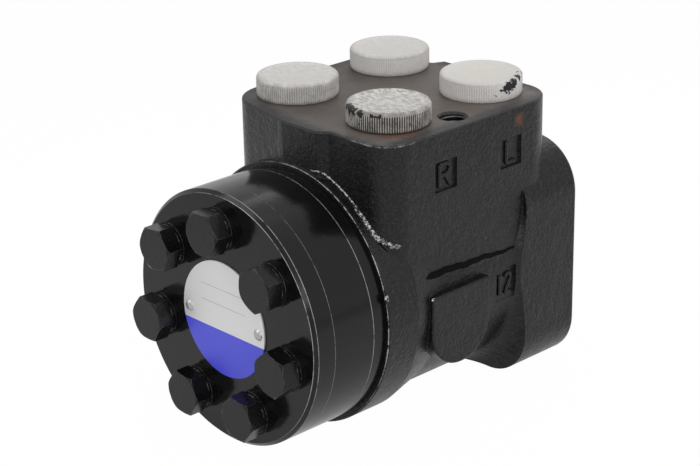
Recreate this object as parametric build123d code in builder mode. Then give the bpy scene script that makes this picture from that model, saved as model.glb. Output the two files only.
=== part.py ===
from build123d import *
import os
from cmath import phase
from math import asin, atan, cos, degrees, pi, radians, sin, sqrt, tan

# Orbital steering unit, 125 cubic centimetres a turn.
# Millimetres. The origin is on the main axis at the column flange face. +Y leaves the
# flange towards the steering column, +Z leaves the port face. Every "at" value below is a
# distance from the flange face towards the end cover, so it is measured along -Y.

# ---------------------------------------------------------------- driving sizes
RUNNING_GAP = 0.03  # radial clearance of parts that turn or slide in each other
LOOSE_GAP = 0.25  # clearance of parts that only pass through a hole

# gear set and covers
STACK_RADIUS = 42.3  # outer radius of cover, gear ring and distributor plate
COVER_THICKNESS = 8.0
COVER_EDGE_CHAMFER = 1.2
GEAR_WIDTH = 16.2
PLATE_THICKNESS = 5.2
PLATE_HOLE_MARGIN = 0.8  # round the cavity that the cardan shaft swings in
HOUSING_LENGTH = 90.0

# gerotor: a six lobed rotor inside a ring with seven round teeth
RING_TEETH = 7
ECCENTRICITY = 3.8  # orbit radius of the rotor
TOOTH_TIP_RADIUS = 24.0  # from the ring's centre to its tooth tips
TOOTH_RADIUS = 8.5  # roundness of one tooth
TOOTH_ROOT_CLEARANCE = 0.1
TOOTH_ROOT_FILLET = 1.2
ROTOR_ARCS_PER_LOBE = 10
ROTOR_SIDE_GAP = 0.02

# cover screws
SCREW_CIRCLE_RADIUS = 30.7
SCREW_RADIUS = 4.0
SCREW_HOLE_RADIUS = 4.25
SCREW_THREAD_DEPTH = 15.0
SCREW_TIP_GAP = 1.0  # between a screw's end and the floor of its hole
SCREW_HEAD_FLATS = 13.4  # a 13 mm hexagon under its paint
SCREW_HEAD_HEIGHT = 5.7
SCREW_HEAD_FACE_RADIUS = 6.8  # where the turned-off corners start
SCREW_HEAD_CORNER_SLOPE = 60.0  # degrees from the screw's axis
SCREW_HEAD_TURNS = (3, 6, -4, -6, -8, -18, 27)  # degrees, as the screws were tightened
SCREW_COLLAR_RADIUS = 6.9
SCREW_COLLAR_HEIGHT = 0.8
WASHER_RADIUS = 7.3
WASHER_THICKNESS = 1.6

# name plate on the end cover
NAME_PLATE_RADIUS = 19.4
NAME_PLATE_THICKNESS = 0.5
PLATE_RIVET_SPACING = 33.0
PLATE_RIVET_HEAD_RADIUS = 1.9
PLATE_RIVET_HEAD_HEIGHT = 0.9
PLATE_RIVET_PIN_RADIUS = 1.0
PLATE_RIVET_PIN_LENGTH = 4.0

# face seals
SEAL_CENTRE_RADIUS = 38.7
SEAL_WIDTH = 2.6
SEAL_GROOVE_WIDTH = 2.8
SEAL_GROOVE_DEPTH = 1.5

# housing: turned body
NECK_RADIUS = 44.0
NECK_LENGTH = 13.0
NECK_TAPER_LENGTH = 13.0
BARREL_RADIUS = 41.0
FLARE_RADIUS = 6.0  # hollow between the barrel and the flange
FLARE_START = 31.0
FLANGE_HALF_WIDTH = 42.0
FLANGE_TOP = 38.0
FLANGE_BOTTOM = 40.2
FLANGE_TOP_CORNER = 17.0
FLANGE_BOTTOM_CORNER = 16.0
FLANGE_EDGE_ROUND = 1.2

# housing: port block
PORT_FACE_HEIGHT = 57.4
BLOCK_FOOT_HEIGHT = 6.0
BLOCK_RIGHT = 40.2
BLOCK_LEFT = 36.7
BLOCK_FRONT_SETBACK = 0.6  # behind the housing's front face
BLOCK_REAR = 8.2
FRONT_STEP_DEPTH = 2.8
FRONT_STEP_LEFT = 11.5
FRONT_STEP_RIGHT = 14.8
FRONT_BEND = -4.0  # where the front face turns back towards the left side
FRONT_LEFT_SETBACK = 6.6
REAR_STEP_DEPTH = 4.2
REAR_STEP_LEFT = -13.0
REAR_STEP_RIGHT = -11.0
CORNER_FRONT_LEFT = 14.0
CORNER_FRONT_RIGHT = 9.5
CORNER_REAR_LEFT = 8.0
CORNER_REAR_RIGHT = 12.5
SMALL_CORNER = 0.8
PORT_FACE_EDGE = 0.8

# housing: flat boss on the right flank
BOSS_FLAT = 44.1
BOSS_WIDTH = 26.5
BOSS_CENTRE = 57.7
BOSS_TOP = 5.0
BOSS_BOTTOM = -21.0
BOSS_EDGE_ROUND = 0.7
BOSS_CORNER_MARGIN = 0.2  # what the two round corners leave flat between them

# cast letter windows on the right flank
WINDOW_SIZE = 9.9
WINDOW_DEPTH = 0.9
WINDOW_HEIGHT = 42.8
WINDOW_RIGHT_TURN_AT = 61.1
WINDOW_LEFT_TURN_AT = 31.1
MAKER_WINDOW_AT = 33.6
MAKER_WINDOW_HEIGHT = -2.2
MAKER_WINDOW_LENGTH = 9.0
MAKER_WINDOW_RISE = 11.5

# ports, M18 x 1.5
PORT_SPACING = 42.2  # across the axis
FRONT_PORTS_SETBACK = 23.0  # behind the housing's front face
REAR_PORTS_AT = 24.8
PORT_BORE_RADIUS = 8.25
PORT_BORE_DEPTH = 15.0
PORT_DRILL_RADIUS = 3.0
PORT_DRILL_FLOOR = 6.0

# bracket holes in the port face, M10
BRACKET_HOLE_RADIUS = 4.25
BRACKET_HOLE_DEPTH = 16.0
BRACKET_HOLE_CHAMFER = 0.75
BRACKET_HOLE_RIGHT = 32.0
BRACKET_HOLE_LEFT = 28.0
BRACKET_HOLE_OFFSET = 3.7  # in front of the middle of the four ports

# port caps
CAP_RADIUS = 13.5
CAP_HEIGHT = 6.9
CAP_EDGE_CHAMFER = 0.7
CAP_RIM_WIDTH = 2.2
CAP_DISH_DEPTH = 0.9
CAP_DISH_RADIUS = 5.0
CAP_RIM_STEP = 0.3
CAP_SHANK_LENGTH = 11.0
CAP_SHANK_GAP = 0.05
CAP_WALL = 1.6

# column flange
COLUMN_HOLE_CIRCLE_RADIUS = 41.25
COLUMN_HOLE_RADIUS = 4.25
COLUMN_HOLE_DEPTH = 17.0
COLUMN_HOLE_COUNT = 4
PILOT_RADIUS = 25.0
PILOT_DEPTH = 3.0

# main bore and what runs in it
BORE_RADIUS = 19.0
BORE_END = 14.2  # where the bearing sits against the housing
DUST_SEAL_RADIUS = 18.5
DUST_SEAL_DEPTH = 5.0
DUST_SEAL_LIP_HEIGHT = 0.8
DUST_SEAL_LIP_WIDTH = 1.2
DUST_SEAL_LIP_FOOT = 1.0
DUST_SEAL_FACE_STEP = 0.4
DUST_SEAL_RIM_RECESS = 0.3
DUST_SEAL_RIM_WIDTH = 1.0
WEB_THICKNESS = 2.2
SHAFT_SEAL_RADIUS = 17.8
GALLERY_RADIUS = 23.0
GALLERY_WIDTH = 5.0
TANK_GALLERY_AT = 21.6
LEFT_GALLERY_AT = 28.4
PRESSURE_GALLERY_SETBACK = 26.9  # the front three lie behind the housing's front face
RIGHT_GALLERY_SETBACK = 20.5
METERING_GALLERY_SETBACK = 10.0
METERING_GALLERY_RADIUS = 25.2
FEED_HOLE_RADIUS = 1.6
FEED_CIRCLE_RADIUS = 23.0

# spool and sleeve
SPOOL_RADIUS = 14.5
SPOOL_NOSE_RADIUS = 13.0
SPOOL_NOSE_AT = 3.4
SPOOL_CAVITY_RADIUS = 11.2
SPOOL_CAVITY_END = 37.0
SPOOL_TRAVEL = 8.0  # degrees each way against the sleeve
SPOOL_GROOVES = 6
SPOOL_GROOVE_WIDTH = 3.2
SPOOL_GROOVE_DEPTH = 1.3
SPOOL_GROOVE_LENGTH = 14.0
SPOOL_GROOVE_SETBACK = 24.0
INNER_SET_END_GAP = 0.1
SLEEVE_HOLE_RADIUS = 1.6
SLEEVE_HOLES = 6

# column spline in the spool's nose: 12 teeth, 16/32 pitch, 19.05 pitch diameter
SPLINE_TEETH = 12
SPLINE_PITCH_DIAMETER = 19.05
SPLINE_MINOR_DIAMETER = 17.46
SPLINE_MAJOR_DIAMETER = 20.9
SPLINE_DEPTH = 16.0

# thrust bearing
RACE_THICKNESS = 1.0
RACE_OUTER_RADIUS = 18.7
RACE_INNER_RADIUS = 13.3
NEEDLE_RADIUS = 1.0
NEEDLE_LENGTH = 3.4
NEEDLE_COUNT = 16
NEEDLE_CENTRE_RADIUS = 16.0
CAGE_THICKNESS = 1.4
CAGE_RADIAL_MARGIN = 0.4

# cross pin and centring springs
CROSS_PIN_AT = 46.0
CROSS_PIN_RADIUS = 4.0
CROSS_PIN_END_GAP = 0.2
SPRING_SLOT_AT = 25.0
SPRING_SLOT_LENGTH = 7.0
SPRING_SLOT_WIDTH = 6.0
SPRING_WIDTH = 6.8
SPRING_LEAF_THICKNESS = 0.55
SPRING_LEAF_BOW = 1.1
SPRING_PAIRS = 2
SPRING_RING_THICKNESS = 1.0
SPRING_RING_WIDTH = 9.0

# cardan shaft between cross pin and rotor
CARDAN_FORK_RADIUS = 9.0
CARDAN_FORK_TIP = 7.3  # beyond the cross pin
CARDAN_FORK_LENGTH = 15.0
CARDAN_NECK_RADIUS = 6.4
CARDAN_SLOT_DEPTH = 5.2  # from the cross pin to the floor of the slot
CARDAN_PIN_GAP = 0.15
CARDAN_SPLINE_TEETH = 12
CARDAN_SPLINE_OFFSET = 3.0  # the spline starts this far into the gear ring
CARDAN_END_SETBACK = 4.6  # behind the end cover
CARDAN_TIP_CHAMFER = 1.0
CARDAN_SHOULDER_LENGTH = 3.0
CARDAN_TOOTH_HEIGHT = 2.4
CARDAN_SPLINE_GAP = 0.45
ROTOR_SPLINE_MINOR_RADIUS = 8.1
ROTOR_SPLINE_MAJOR_RADIUS = 9.9
ROTOR_SPLINE_SLOT_WIDTH = 2.6

# spacer disc between cardan shaft and end cover
SPACER_RADIUS = 7.5
SPACER_GAP = 0.15

# inlet check valve
CHECK_CIRCLE_RADIUS = 31.0
CHECK_BORE_RADIUS = 3.0
CHECK_SEAT_BORE_RADIUS = 4.0
CHECK_SEAT_LENGTH = 9.0
CHECK_SEAT_RECESS = 0.3
CHECK_SEAT_HOLE_RADIUS = 1.9
CHECK_BALL_RADIUS = 2.8
CHECK_BALL_LIFT = 1.2

# ---------------------------------------------------------------- derived sizes
PLATE_AT = HOUSING_LENGTH
RING_AT = PLATE_AT + PLATE_THICKNESS
COVER_AT = RING_AT + GEAR_WIDTH
COVER_FACE_AT = COVER_AT + COVER_THICKNESS
SCREW_PITCH_ANGLE = 360 / RING_TEETH
BETWEEN_SCREWS = 90 + SCREW_PITCH_ANGLE / 2
BLOCK_FRONT = HOUSING_LENGTH - BLOCK_FRONT_SETBACK
BLOCK_FRONT_RIGHT = BLOCK_FRONT - FRONT_STEP_DEPTH
BLOCK_REAR_LEFT = BLOCK_REAR + REAR_STEP_DEPTH
TOOTH_CENTRE_RADIUS = TOOTH_TIP_RADIUS + TOOTH_RADIUS
TOOTH_ROOT_RADIUS = TOOTH_TIP_RADIUS + 2 * ECCENTRICITY + TOOTH_ROOT_CLEARANCE
WEB_AT = PILOT_DEPTH + DUST_SEAL_DEPTH
SHAFT_SEAL_AT = WEB_AT + WEB_THICKNESS
REAR_RACE_AT = BORE_END
NEEDLES_AT = REAR_RACE_AT + RACE_THICKNESS
FRONT_RACE_AT = NEEDLES_AT + 2 * NEEDLE_RADIUS
SLEEVE_AT = FRONT_RACE_AT + RACE_THICKNESS
INNER_SET_END = HOUSING_LENGTH - INNER_SET_END_GAP
PRESSURE_GALLERY_AT = HOUSING_LENGTH - PRESSURE_GALLERY_SETBACK
RIGHT_GALLERY_AT = HOUSING_LENGTH - RIGHT_GALLERY_SETBACK
METERING_GALLERY_AT = HOUSING_LENGTH - METERING_GALLERY_SETBACK
SPOOL_GROOVE_AT = HOUSING_LENGTH - SPOOL_GROOVE_SETBACK
SLEEVE_HOLE_ROWS = (RIGHT_GALLERY_AT, METERING_GALLERY_AT)
SLEEVE_RADIUS = BORE_RADIUS - RUNNING_GAP
SLEEVE_INNER_RADIUS = SPOOL_RADIUS + RUNNING_GAP
SPRING_RING_SEAT_RADIUS = SLEEVE_RADIUS - SPRING_RING_THICKNESS - RUNNING_GAP
ROTOR_CENTRE_AT = RING_AT + GEAR_WIDTH / 2
CARDAN_SPLINE_AT = RING_AT + CARDAN_SPLINE_OFFSET
CARDAN_END = COVER_AT - CARDAN_END_SETBACK
CARDAN_TILT = degrees(atan(ECCENTRICITY / (ROTOR_CENTRE_AT - CROSS_PIN_AT)))
SPACER_AT = CARDAN_END + ROTOR_SPLINE_MAJOR_RADIUS * sin(radians(CARDAN_TILT)) + SPACER_GAP
CROSS_PIN_WINDOW_RADIUS = CROSS_PIN_RADIUS + SPOOL_RADIUS * sin(radians(SPOOL_TRAVEL)) + LOOSE_GAP
PORT_ACROSS = PORT_SPACING / 2
FRONT_PORTS_AT = HOUSING_LENGTH - FRONT_PORTS_SETBACK
BRACKET_HOLE_AT = (FRONT_PORTS_AT + REAR_PORTS_AT) / 2 + BRACKET_HOLE_OFFSET
CHECK_SEAT_END = HOUSING_LENGTH - CHECK_SEAT_RECESS - CHECK_SEAT_LENGTH
# the ball rests on the rim of the seat's hole, and the floor of its bore stops its lift
CHECK_BALL_DROP = CHECK_BALL_RADIUS * cos(asin(CHECK_SEAT_HOLE_RADIUS / CHECK_BALL_RADIUS)) + RUNNING_GAP
CHECK_BORE_END = CHECK_SEAT_END - CHECK_BALL_DROP - CHECK_BALL_RADIUS - CHECK_BALL_LIFT


# ---------------------------------------------------------------- shared drawing helpers
def station(distance):
    """Plane across the main axis. Its x is X, its y is Z, and it faces the end cover."""
    return Plane.XZ.offset(distance)


def turned(points):
    """Half section from (radius, distance) corners, to be revolved about the main axis."""
    with BuildSketch(Plane.XY) as section:
        with BuildLine():
            Polyline(*[(radius, -distance) for radius, distance in points], close=True)
        make_face()
    return section.sketch


def ring_section(inner, outer, start, length):
    """Half section of a plain ring."""
    return turned([(inner, start), (outer, start), (outer, start + length), (inner, start + length)])


def screw_pattern():
    """Places of the cover screws, one of them straight up."""
    return PolarLocations(SCREW_CIRCLE_RADIUS, RING_TEETH, start_angle=90)


def feed_pattern():
    """Places of the feed holes, each between two cover screws."""
    return PolarLocations(FEED_CIRCLE_RADIUS, RING_TEETH, start_angle=BETWEEN_SCREWS)


def spline_sketch(core_radius, tooth_radius, tooth_width, teeth):
    """Round core with straight sided teeth, or a bore with straight sided slots."""
    tooth_length = tooth_radius - core_radius / 2
    with BuildSketch() as outline:
        Circle(core_radius)
        with PolarLocations(core_radius / 2 + tooth_length / 2, teeth):
            Rectangle(tooth_length, tooth_width)
    return outline.sketch


def rotor_outline():
    """
    Points of the rotor profile: ends and middles of the arcs that draw it.

    The centre of one ring tooth draws the curve C(t) = R e^(it) - e e^(i(n+1)t) in the rotor's
    own frame. The profile is that curve moved inwards by the tooth radius and the running gap.
    The points stand where the profile has turned by equal angles, left turns and right turns
    both counted, so the arcs are short where it bends sharply.
    """
    inset = TOOTH_RADIUS + RUNNING_GAP
    fine_steps = 600 * (RING_TEETH - 1)
    profile = []
    turned_by = [0.0]
    last_heading = None
    for step in range(fine_steps + 1):
        angle = 2 * pi * step / fine_steps
        centre = complex(cos(angle), sin(angle)) * TOOTH_CENTRE_RADIUS
        wobble = complex(cos(RING_TEETH * angle), sin(RING_TEETH * angle)) * ECCENTRICITY
        heading = 1j * (centre - RING_TEETH * wobble)
        profile.append(centre - wobble + 1j * heading / abs(heading) * inset)
        if last_heading is not None:
            turned_by.append(turned_by[-1] + abs(phase(heading / last_heading)))
        last_heading = heading
    count = 2 * ROTOR_ARCS_PER_LOBE * (RING_TEETH - 1)
    points = []
    place = 0
    for index in range(count):
        while turned_by[place + 1] < turned_by[-1] * index / count:
            place += 1
        points.append(profile[place])
    # the first tooth of the ring points straight up, and the rotor leans towards it
    return [(-point.imag, point.real + ECCENTRICITY) for point in points]


def gear_chamber():
    """Hollow of the gear ring: a round hollow with the seven teeth standing in it."""
    with BuildSketch() as chamber:
        Circle(TOOTH_ROOT_RADIUS)
        with PolarLocations(TOOTH_CENTRE_RADIUS, RING_TEETH, start_angle=90):
            Circle(TOOTH_RADIUS, mode=Mode.SUBTRACT)
        fillet(chamber.vertices(), TOOTH_ROOT_FILLET)
    return chamber.sketch


# ---------------------------------------------------------------- housing casting
with BuildPart() as flange_blank:
    with BuildSketch(station(0)):
        with BuildLine():
            FilletPolyline(
                (-FLANGE_HALF_WIDTH, -FLANGE_BOTTOM),
                (FLANGE_HALF_WIDTH, -FLANGE_BOTTOM),
                (FLANGE_HALF_WIDTH, FLANGE_TOP),
                (-FLANGE_HALF_WIDTH, FLANGE_TOP),
                radius=[FLANGE_BOTTOM_CORNER, FLANGE_BOTTOM_CORNER, FLANGE_TOP_CORNER, FLANGE_TOP_CORNER],
                close=True,
            )
        make_face()
    extrude(amount=FLARE_START)
    # the flange flares out of the barrel on a round hollow
    with BuildSketch(Plane.XY):
        with BuildLine():
            hollow = TangentArc(
                (BARREL_RADIUS, -FLARE_START),
                (BARREL_RADIUS + FLARE_RADIUS, -FLARE_START + FLARE_RADIUS),
                tangent=(0, 1),
            )
            Polyline(
                hollow @ 1,
                (2 * BARREL_RADIUS, -FLARE_START + FLARE_RADIUS),
                (2 * BARREL_RADIUS, 0),
                (0, 0),
                (0, -FLARE_START),
                hollow @ 0,
            )
        make_face()
    revolve(axis=Axis.Y, mode=Mode.INTERSECT)
    fillet(flange_blank.faces().sort_by(Axis.Y)[-1].edges(), FLANGE_EDGE_ROUND)

boss_corner = BOSS_WIDTH / 2 - BOSS_CORNER_MARGIN
with BuildPart() as boss_blank:
    with BuildSketch(Plane.YZ.offset(BARREL_RADIUS / 2)):
        with BuildLine():
            FilletPolyline(
                (-BOSS_CENTRE - BOSS_WIDTH / 2, BOSS_TOP),
                (-BOSS_CENTRE - BOSS_WIDTH / 2, BOSS_BOTTOM),
                (-BOSS_CENTRE + BOSS_WIDTH / 2, BOSS_BOTTOM),
                (-BOSS_CENTRE + BOSS_WIDTH / 2, BOSS_TOP),
                radius=[SMALL_CORNER, boss_corner, boss_corner, SMALL_CORNER],
                close=True,
            )
        make_face()
    extrude(amount=BOSS_FLAT - BARREL_RADIUS / 2)
    fillet(boss_blank.faces().sort_by(Axis.X)[-1].edges(), BOSS_EDGE_ROUND)

with BuildPart() as port_block:
    with BuildSketch(Plane.XY.offset(BLOCK_FOOT_HEIGHT)):
        with BuildLine():
            FilletPolyline(
                (FRONT_STEP_LEFT, -BLOCK_FRONT),
                (FRONT_STEP_RIGHT, -BLOCK_FRONT_RIGHT),
                (BLOCK_RIGHT, -BLOCK_FRONT_RIGHT),
                (BLOCK_RIGHT, -BLOCK_REAR),
                (REAR_STEP_RIGHT, -BLOCK_REAR),
                (REAR_STEP_LEFT, -BLOCK_REAR_LEFT),
                (-BLOCK_LEFT, -BLOCK_REAR_LEFT),
                (-BLOCK_LEFT, -BLOCK_FRONT + FRONT_LEFT_SETBACK),
                (FRONT_BEND, -BLOCK_FRONT),
                radius=[
                    SMALL_CORNER,
                    SMALL_CORNER,
                    CORNER_FRONT_RIGHT,
                    CORNER_REAR_RIGHT,
                    SMALL_CORNER,
                    SMALL_CORNER,
                    CORNER_REAR_LEFT,
                    CORNER_FRONT_LEFT,
                    SMALL_CORNER,
                ],
                close=True,
            )
        make_face()
    extrude(amount=PORT_FACE_HEIGHT - BLOCK_FOOT_HEIGHT)
    fillet(port_block.faces().sort_by(Axis.Z)[-1].edges(), PORT_FACE_EDGE)

with BuildPart() as housing:
    # front ring, taper and barrel
    taper_start = HOUSING_LENGTH - NECK_LENGTH
    barrel_start = taper_start - NECK_TAPER_LENGTH
    body_section = turned(
        [
            (0, HOUSING_LENGTH),
            (NECK_RADIUS, HOUSING_LENGTH),
            (NECK_RADIUS, taper_start),
            (BARREL_RADIUS, barrel_start),
            (BARREL_RADIUS, FLARE_START / 2),
            (0, FLARE_START / 2),
        ]
    )
    revolve(body_section, axis=Axis.Y)
    add(port_block.part)
    add(flange_blank.part)
    add(boss_blank.part)

    # letter windows for the two steering ports, and the maker's window, left bare
    with BuildSketch(Plane.YZ.offset(BLOCK_RIGHT)):
        with Locations((-WINDOW_RIGHT_TURN_AT, WINDOW_HEIGHT), (-WINDOW_LEFT_TURN_AT, WINDOW_HEIGHT)):
            Rectangle(WINDOW_SIZE, WINDOW_SIZE)
    extrude(amount=-WINDOW_DEPTH, mode=Mode.SUBTRACT)
    with BuildSketch(Plane.YZ.offset(BARREL_RADIUS - WINDOW_DEPTH)):
        with Locations((-MAKER_WINDOW_AT, MAKER_WINDOW_HEIGHT)):
            Rectangle(MAKER_WINDOW_LENGTH, MAKER_WINDOW_RISE)
    extrude(amount=2 * WINDOW_DEPTH, mode=Mode.SUBTRACT)

    # stepped main bore with the ring shaped oil galleries
    bore_corners = [
        (0, 0),
        (PILOT_RADIUS, 0),
        (PILOT_RADIUS, PILOT_DEPTH),
        (DUST_SEAL_RADIUS, PILOT_DEPTH),
        (DUST_SEAL_RADIUS, WEB_AT),
        (SPOOL_NOSE_RADIUS + LOOSE_GAP, WEB_AT),
        (SPOOL_NOSE_RADIUS + LOOSE_GAP, SHAFT_SEAL_AT),
        (SHAFT_SEAL_RADIUS, SHAFT_SEAL_AT),
        (SHAFT_SEAL_RADIUS, BORE_END),
        (BORE_RADIUS, BORE_END),
    ]
    galleries = [
        (TANK_GALLERY_AT, GALLERY_RADIUS),
        (LEFT_GALLERY_AT, GALLERY_RADIUS),
        (PRESSURE_GALLERY_AT, GALLERY_RADIUS),
        (RIGHT_GALLERY_AT, GALLERY_RADIUS),
        (METERING_GALLERY_AT, METERING_GALLERY_RADIUS),
    ]
    for gallery_at, gallery_radius in galleries:
        bore_corners += [
            (BORE_RADIUS, gallery_at - GALLERY_WIDTH / 2),
            (gallery_radius, gallery_at - GALLERY_WIDTH / 2),
            (gallery_radius, gallery_at + GALLERY_WIDTH / 2),
            (BORE_RADIUS, gallery_at + GALLERY_WIDTH / 2),
        ]
    bore_corners += [(BORE_RADIUS, HOUSING_LENGTH), (0, HOUSING_LENGTH)]
    revolve(turned(bore_corners), axis=Axis.Y, mode=Mode.SUBTRACT)

    # seal groove, screw holes and feed holes in the front face
    groove_inner = SEAL_CENTRE_RADIUS - SEAL_GROOVE_WIDTH / 2
    groove_start = HOUSING_LENGTH - SEAL_GROOVE_DEPTH
    groove_section = ring_section(
        groove_inner, groove_inner + SEAL_GROOVE_WIDTH, groove_start, SEAL_GROOVE_DEPTH
    )
    revolve(groove_section, axis=Axis.Y, mode=Mode.SUBTRACT)
    with BuildSketch(station(HOUSING_LENGTH)):
        with screw_pattern():
            Circle(SCREW_HOLE_RADIUS)
    extrude(amount=-SCREW_THREAD_DEPTH, mode=Mode.SUBTRACT)
    with BuildSketch(station(HOUSING_LENGTH)):
        with feed_pattern():
            Circle(FEED_HOLE_RADIUS)
    extrude(amount=METERING_GALLERY_AT - HOUSING_LENGTH, mode=Mode.SUBTRACT)

    # inlet check valve: seat bore, then the ball's bore
    with BuildSketch(station(HOUSING_LENGTH)):
        with PolarLocations(CHECK_CIRCLE_RADIUS, 1, start_angle=BETWEEN_SCREWS):
            Circle(CHECK_SEAT_BORE_RADIUS)
    extrude(amount=-CHECK_SEAT_LENGTH - CHECK_SEAT_RECESS, mode=Mode.SUBTRACT)
    with BuildSketch(station(HOUSING_LENGTH)):
        with PolarLocations(CHECK_CIRCLE_RADIUS, 1, start_angle=BETWEEN_SCREWS):
            Circle(CHECK_BORE_RADIUS)
    extrude(amount=CHECK_BORE_END - HOUSING_LENGTH, mode=Mode.SUBTRACT)

    # column bolt holes
    with BuildSketch(station(0)):
        with PolarLocations(COLUMN_HOLE_CIRCLE_RADIUS, COLUMN_HOLE_COUNT, start_angle=45):
            Circle(COLUMN_HOLE_RADIUS)
    extrude(amount=COLUMN_HOLE_DEPTH, mode=Mode.SUBTRACT)

    # ports, and the drillings down to their galleries
    with BuildSketch(Plane.XY.offset(PORT_FACE_HEIGHT)):
        with Locations((0, -(FRONT_PORTS_AT + REAR_PORTS_AT) / 2)):
            with GridLocations(PORT_SPACING, FRONT_PORTS_AT - REAR_PORTS_AT, 2, 2):
                Circle(PORT_BORE_RADIUS)
    extrude(amount=-PORT_BORE_DEPTH, mode=Mode.SUBTRACT)
    with BuildSketch(Plane.XY.offset(PORT_FACE_HEIGHT - PORT_BORE_DEPTH)):
        with Locations(
            (-PORT_ACROSS, -PRESSURE_GALLERY_AT),
            (-PORT_ACROSS, -TANK_GALLERY_AT),
            (PORT_ACROSS, -RIGHT_GALLERY_AT),
            (PORT_ACROSS, -LEFT_GALLERY_AT),
        ):
            Circle(PORT_DRILL_RADIUS)
    extrude(amount=PORT_DRILL_FLOOR + PORT_BORE_DEPTH - PORT_FACE_HEIGHT, mode=Mode.SUBTRACT)

    # bracket holes between the ports
    with Locations(Plane.XY.offset(PORT_FACE_HEIGHT)):
        with Locations((BRACKET_HOLE_RIGHT, -BRACKET_HOLE_AT), (-BRACKET_HOLE_LEFT, -BRACKET_HOLE_AT)):
            Hole(BRACKET_HOLE_RADIUS, BRACKET_HOLE_DEPTH)
    bracket_rims = housing.edges().filter_by(GeomType.CIRCLE).filter_by(
        lambda edge: abs(edge.radius - BRACKET_HOLE_RADIUS) < 0.01
        and abs(edge.center().Z - PORT_FACE_HEIGHT) < 0.01
    )
    chamfer(bracket_rims, BRACKET_HOLE_CHAMFER)

# ---------------------------------------------------------------- gear set
with BuildPart() as distributor_plate:
    with BuildSketch(station(PLATE_AT)):
        Circle(STACK_RADIUS)
        Circle(SPOOL_CAVITY_RADIUS + PLATE_HOLE_MARGIN, mode=Mode.SUBTRACT)
        with screw_pattern():
            Circle(SCREW_HOLE_RADIUS, mode=Mode.SUBTRACT)
        with feed_pattern():
            Circle(FEED_HOLE_RADIUS, mode=Mode.SUBTRACT)
    extrude(amount=PLATE_THICKNESS)

with BuildPart() as stator_ring:
    with BuildSketch(station(RING_AT)):
        Circle(STACK_RADIUS)
        add(gear_chamber(), mode=Mode.SUBTRACT)
        with screw_pattern():
            Circle(SCREW_HOLE_RADIUS, mode=Mode.SUBTRACT)
    extrude(amount=GEAR_WIDTH)
    for face_at, inwards in ((RING_AT, 1), (COVER_AT, -1)):
        seal_groove = ring_section(
            SEAL_CENTRE_RADIUS - SEAL_GROOVE_WIDTH / 2,
            SEAL_CENTRE_RADIUS + SEAL_GROOVE_WIDTH / 2,
            face_at,
            inwards * SEAL_GROOVE_DEPTH,
        )
        revolve(seal_groove, axis=Axis.Y, mode=Mode.SUBTRACT)

with BuildPart() as rotor:
    with BuildSketch(station(RING_AT + ROTOR_SIDE_GAP)):
        with BuildLine():
            corners = rotor_outline()
            for start in range(0, len(corners), 2):
                ThreePointArc(corners[start], corners[start + 1], corners[(start + 2) % len(corners)])
        make_face()
    extrude(amount=GEAR_WIDTH - 2 * ROTOR_SIDE_GAP)
    with BuildSketch(station(RING_AT)):
        with Locations((0, ECCENTRICITY)):
            add(
                spline_sketch(
                    ROTOR_SPLINE_MINOR_RADIUS,
                    ROTOR_SPLINE_MAJOR_RADIUS,
                    ROTOR_SPLINE_SLOT_WIDTH,
                    CARDAN_SPLINE_TEETH,
                )
            )
    extrude(amount=GEAR_WIDTH, mode=Mode.SUBTRACT)

with BuildPart() as spacer:
    with BuildSketch(station(SPACER_AT)):
        with Locations((0, ECCENTRICITY)):
            Circle(SPACER_RADIUS)
    extrude(amount=COVER_AT - SPACER_GAP - SPACER_AT)

# ---------------------------------------------------------------- end cover and its screws
with BuildPart() as end_cover:
    with BuildSketch(station(COVER_AT)):
        Circle(STACK_RADIUS)
    extrude(amount=COVER_THICKNESS)
    chamfer(end_cover.faces().sort_by(Axis.Y)[0].edges(), COVER_EDGE_CHAMFER)
    with BuildSketch(station(COVER_AT)):
        with screw_pattern():
            Circle(SCREW_HOLE_RADIUS)
        with Locations((-PLATE_RIVET_SPACING / 2, 0), (PLATE_RIVET_SPACING / 2, 0)):
            Circle(PLATE_RIVET_PIN_RADIUS)
    extrude(amount=COVER_THICKNESS, mode=Mode.SUBTRACT)

screws = []
washers = []
for place, head_turn in zip(screw_pattern().locations, SCREW_HEAD_TURNS):
    across, up = place.position.X, place.position.Y
    with BuildPart() as washer:
        with BuildSketch(station(COVER_FACE_AT)):
            with Locations((across, up)):
                Circle(WASHER_RADIUS)
                Circle(SCREW_HOLE_RADIUS, mode=Mode.SUBTRACT)
        extrude(amount=WASHER_THICKNESS)
    washers.append(washer)
    with BuildPart() as screw:
        with BuildSketch(station(COVER_FACE_AT + WASHER_THICKNESS)):
            with Locations((across, up)):
                Circle(SCREW_COLLAR_RADIUS)
        extrude(amount=SCREW_COLLAR_HEIGHT)
        with BuildSketch(station(COVER_FACE_AT + WASHER_THICKNESS + SCREW_COLLAR_HEIGHT)):
            with Locations((across, up)):
                RegularPolygon(SCREW_HEAD_FLATS / 2, 6, major_radius=False, rotation=head_turn)
        extrude(amount=SCREW_HEAD_HEIGHT)
        # the corners of the hexagon are turned off to a cone
        cone_height = WASHER_THICKNESS + SCREW_COLLAR_HEIGHT + SCREW_HEAD_HEIGHT
        cone_slope = tan(radians(SCREW_HEAD_CORNER_SLOPE))
        with BuildSketch(station(COVER_FACE_AT)):
            with Locations((across, up)):
                Circle(SCREW_HEAD_FACE_RADIUS + cone_height * cone_slope)
        extrude(amount=cone_height, taper=SCREW_HEAD_CORNER_SLOPE, mode=Mode.INTERSECT)
        screw_tip_at = HOUSING_LENGTH - SCREW_THREAD_DEPTH + SCREW_TIP_GAP
        with BuildSketch(station(screw_tip_at)):
            with Locations((across, up)):
                Circle(SCREW_RADIUS)
        extrude(amount=COVER_FACE_AT + WASHER_THICKNESS - screw_tip_at)
    screws.append(screw)

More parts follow.
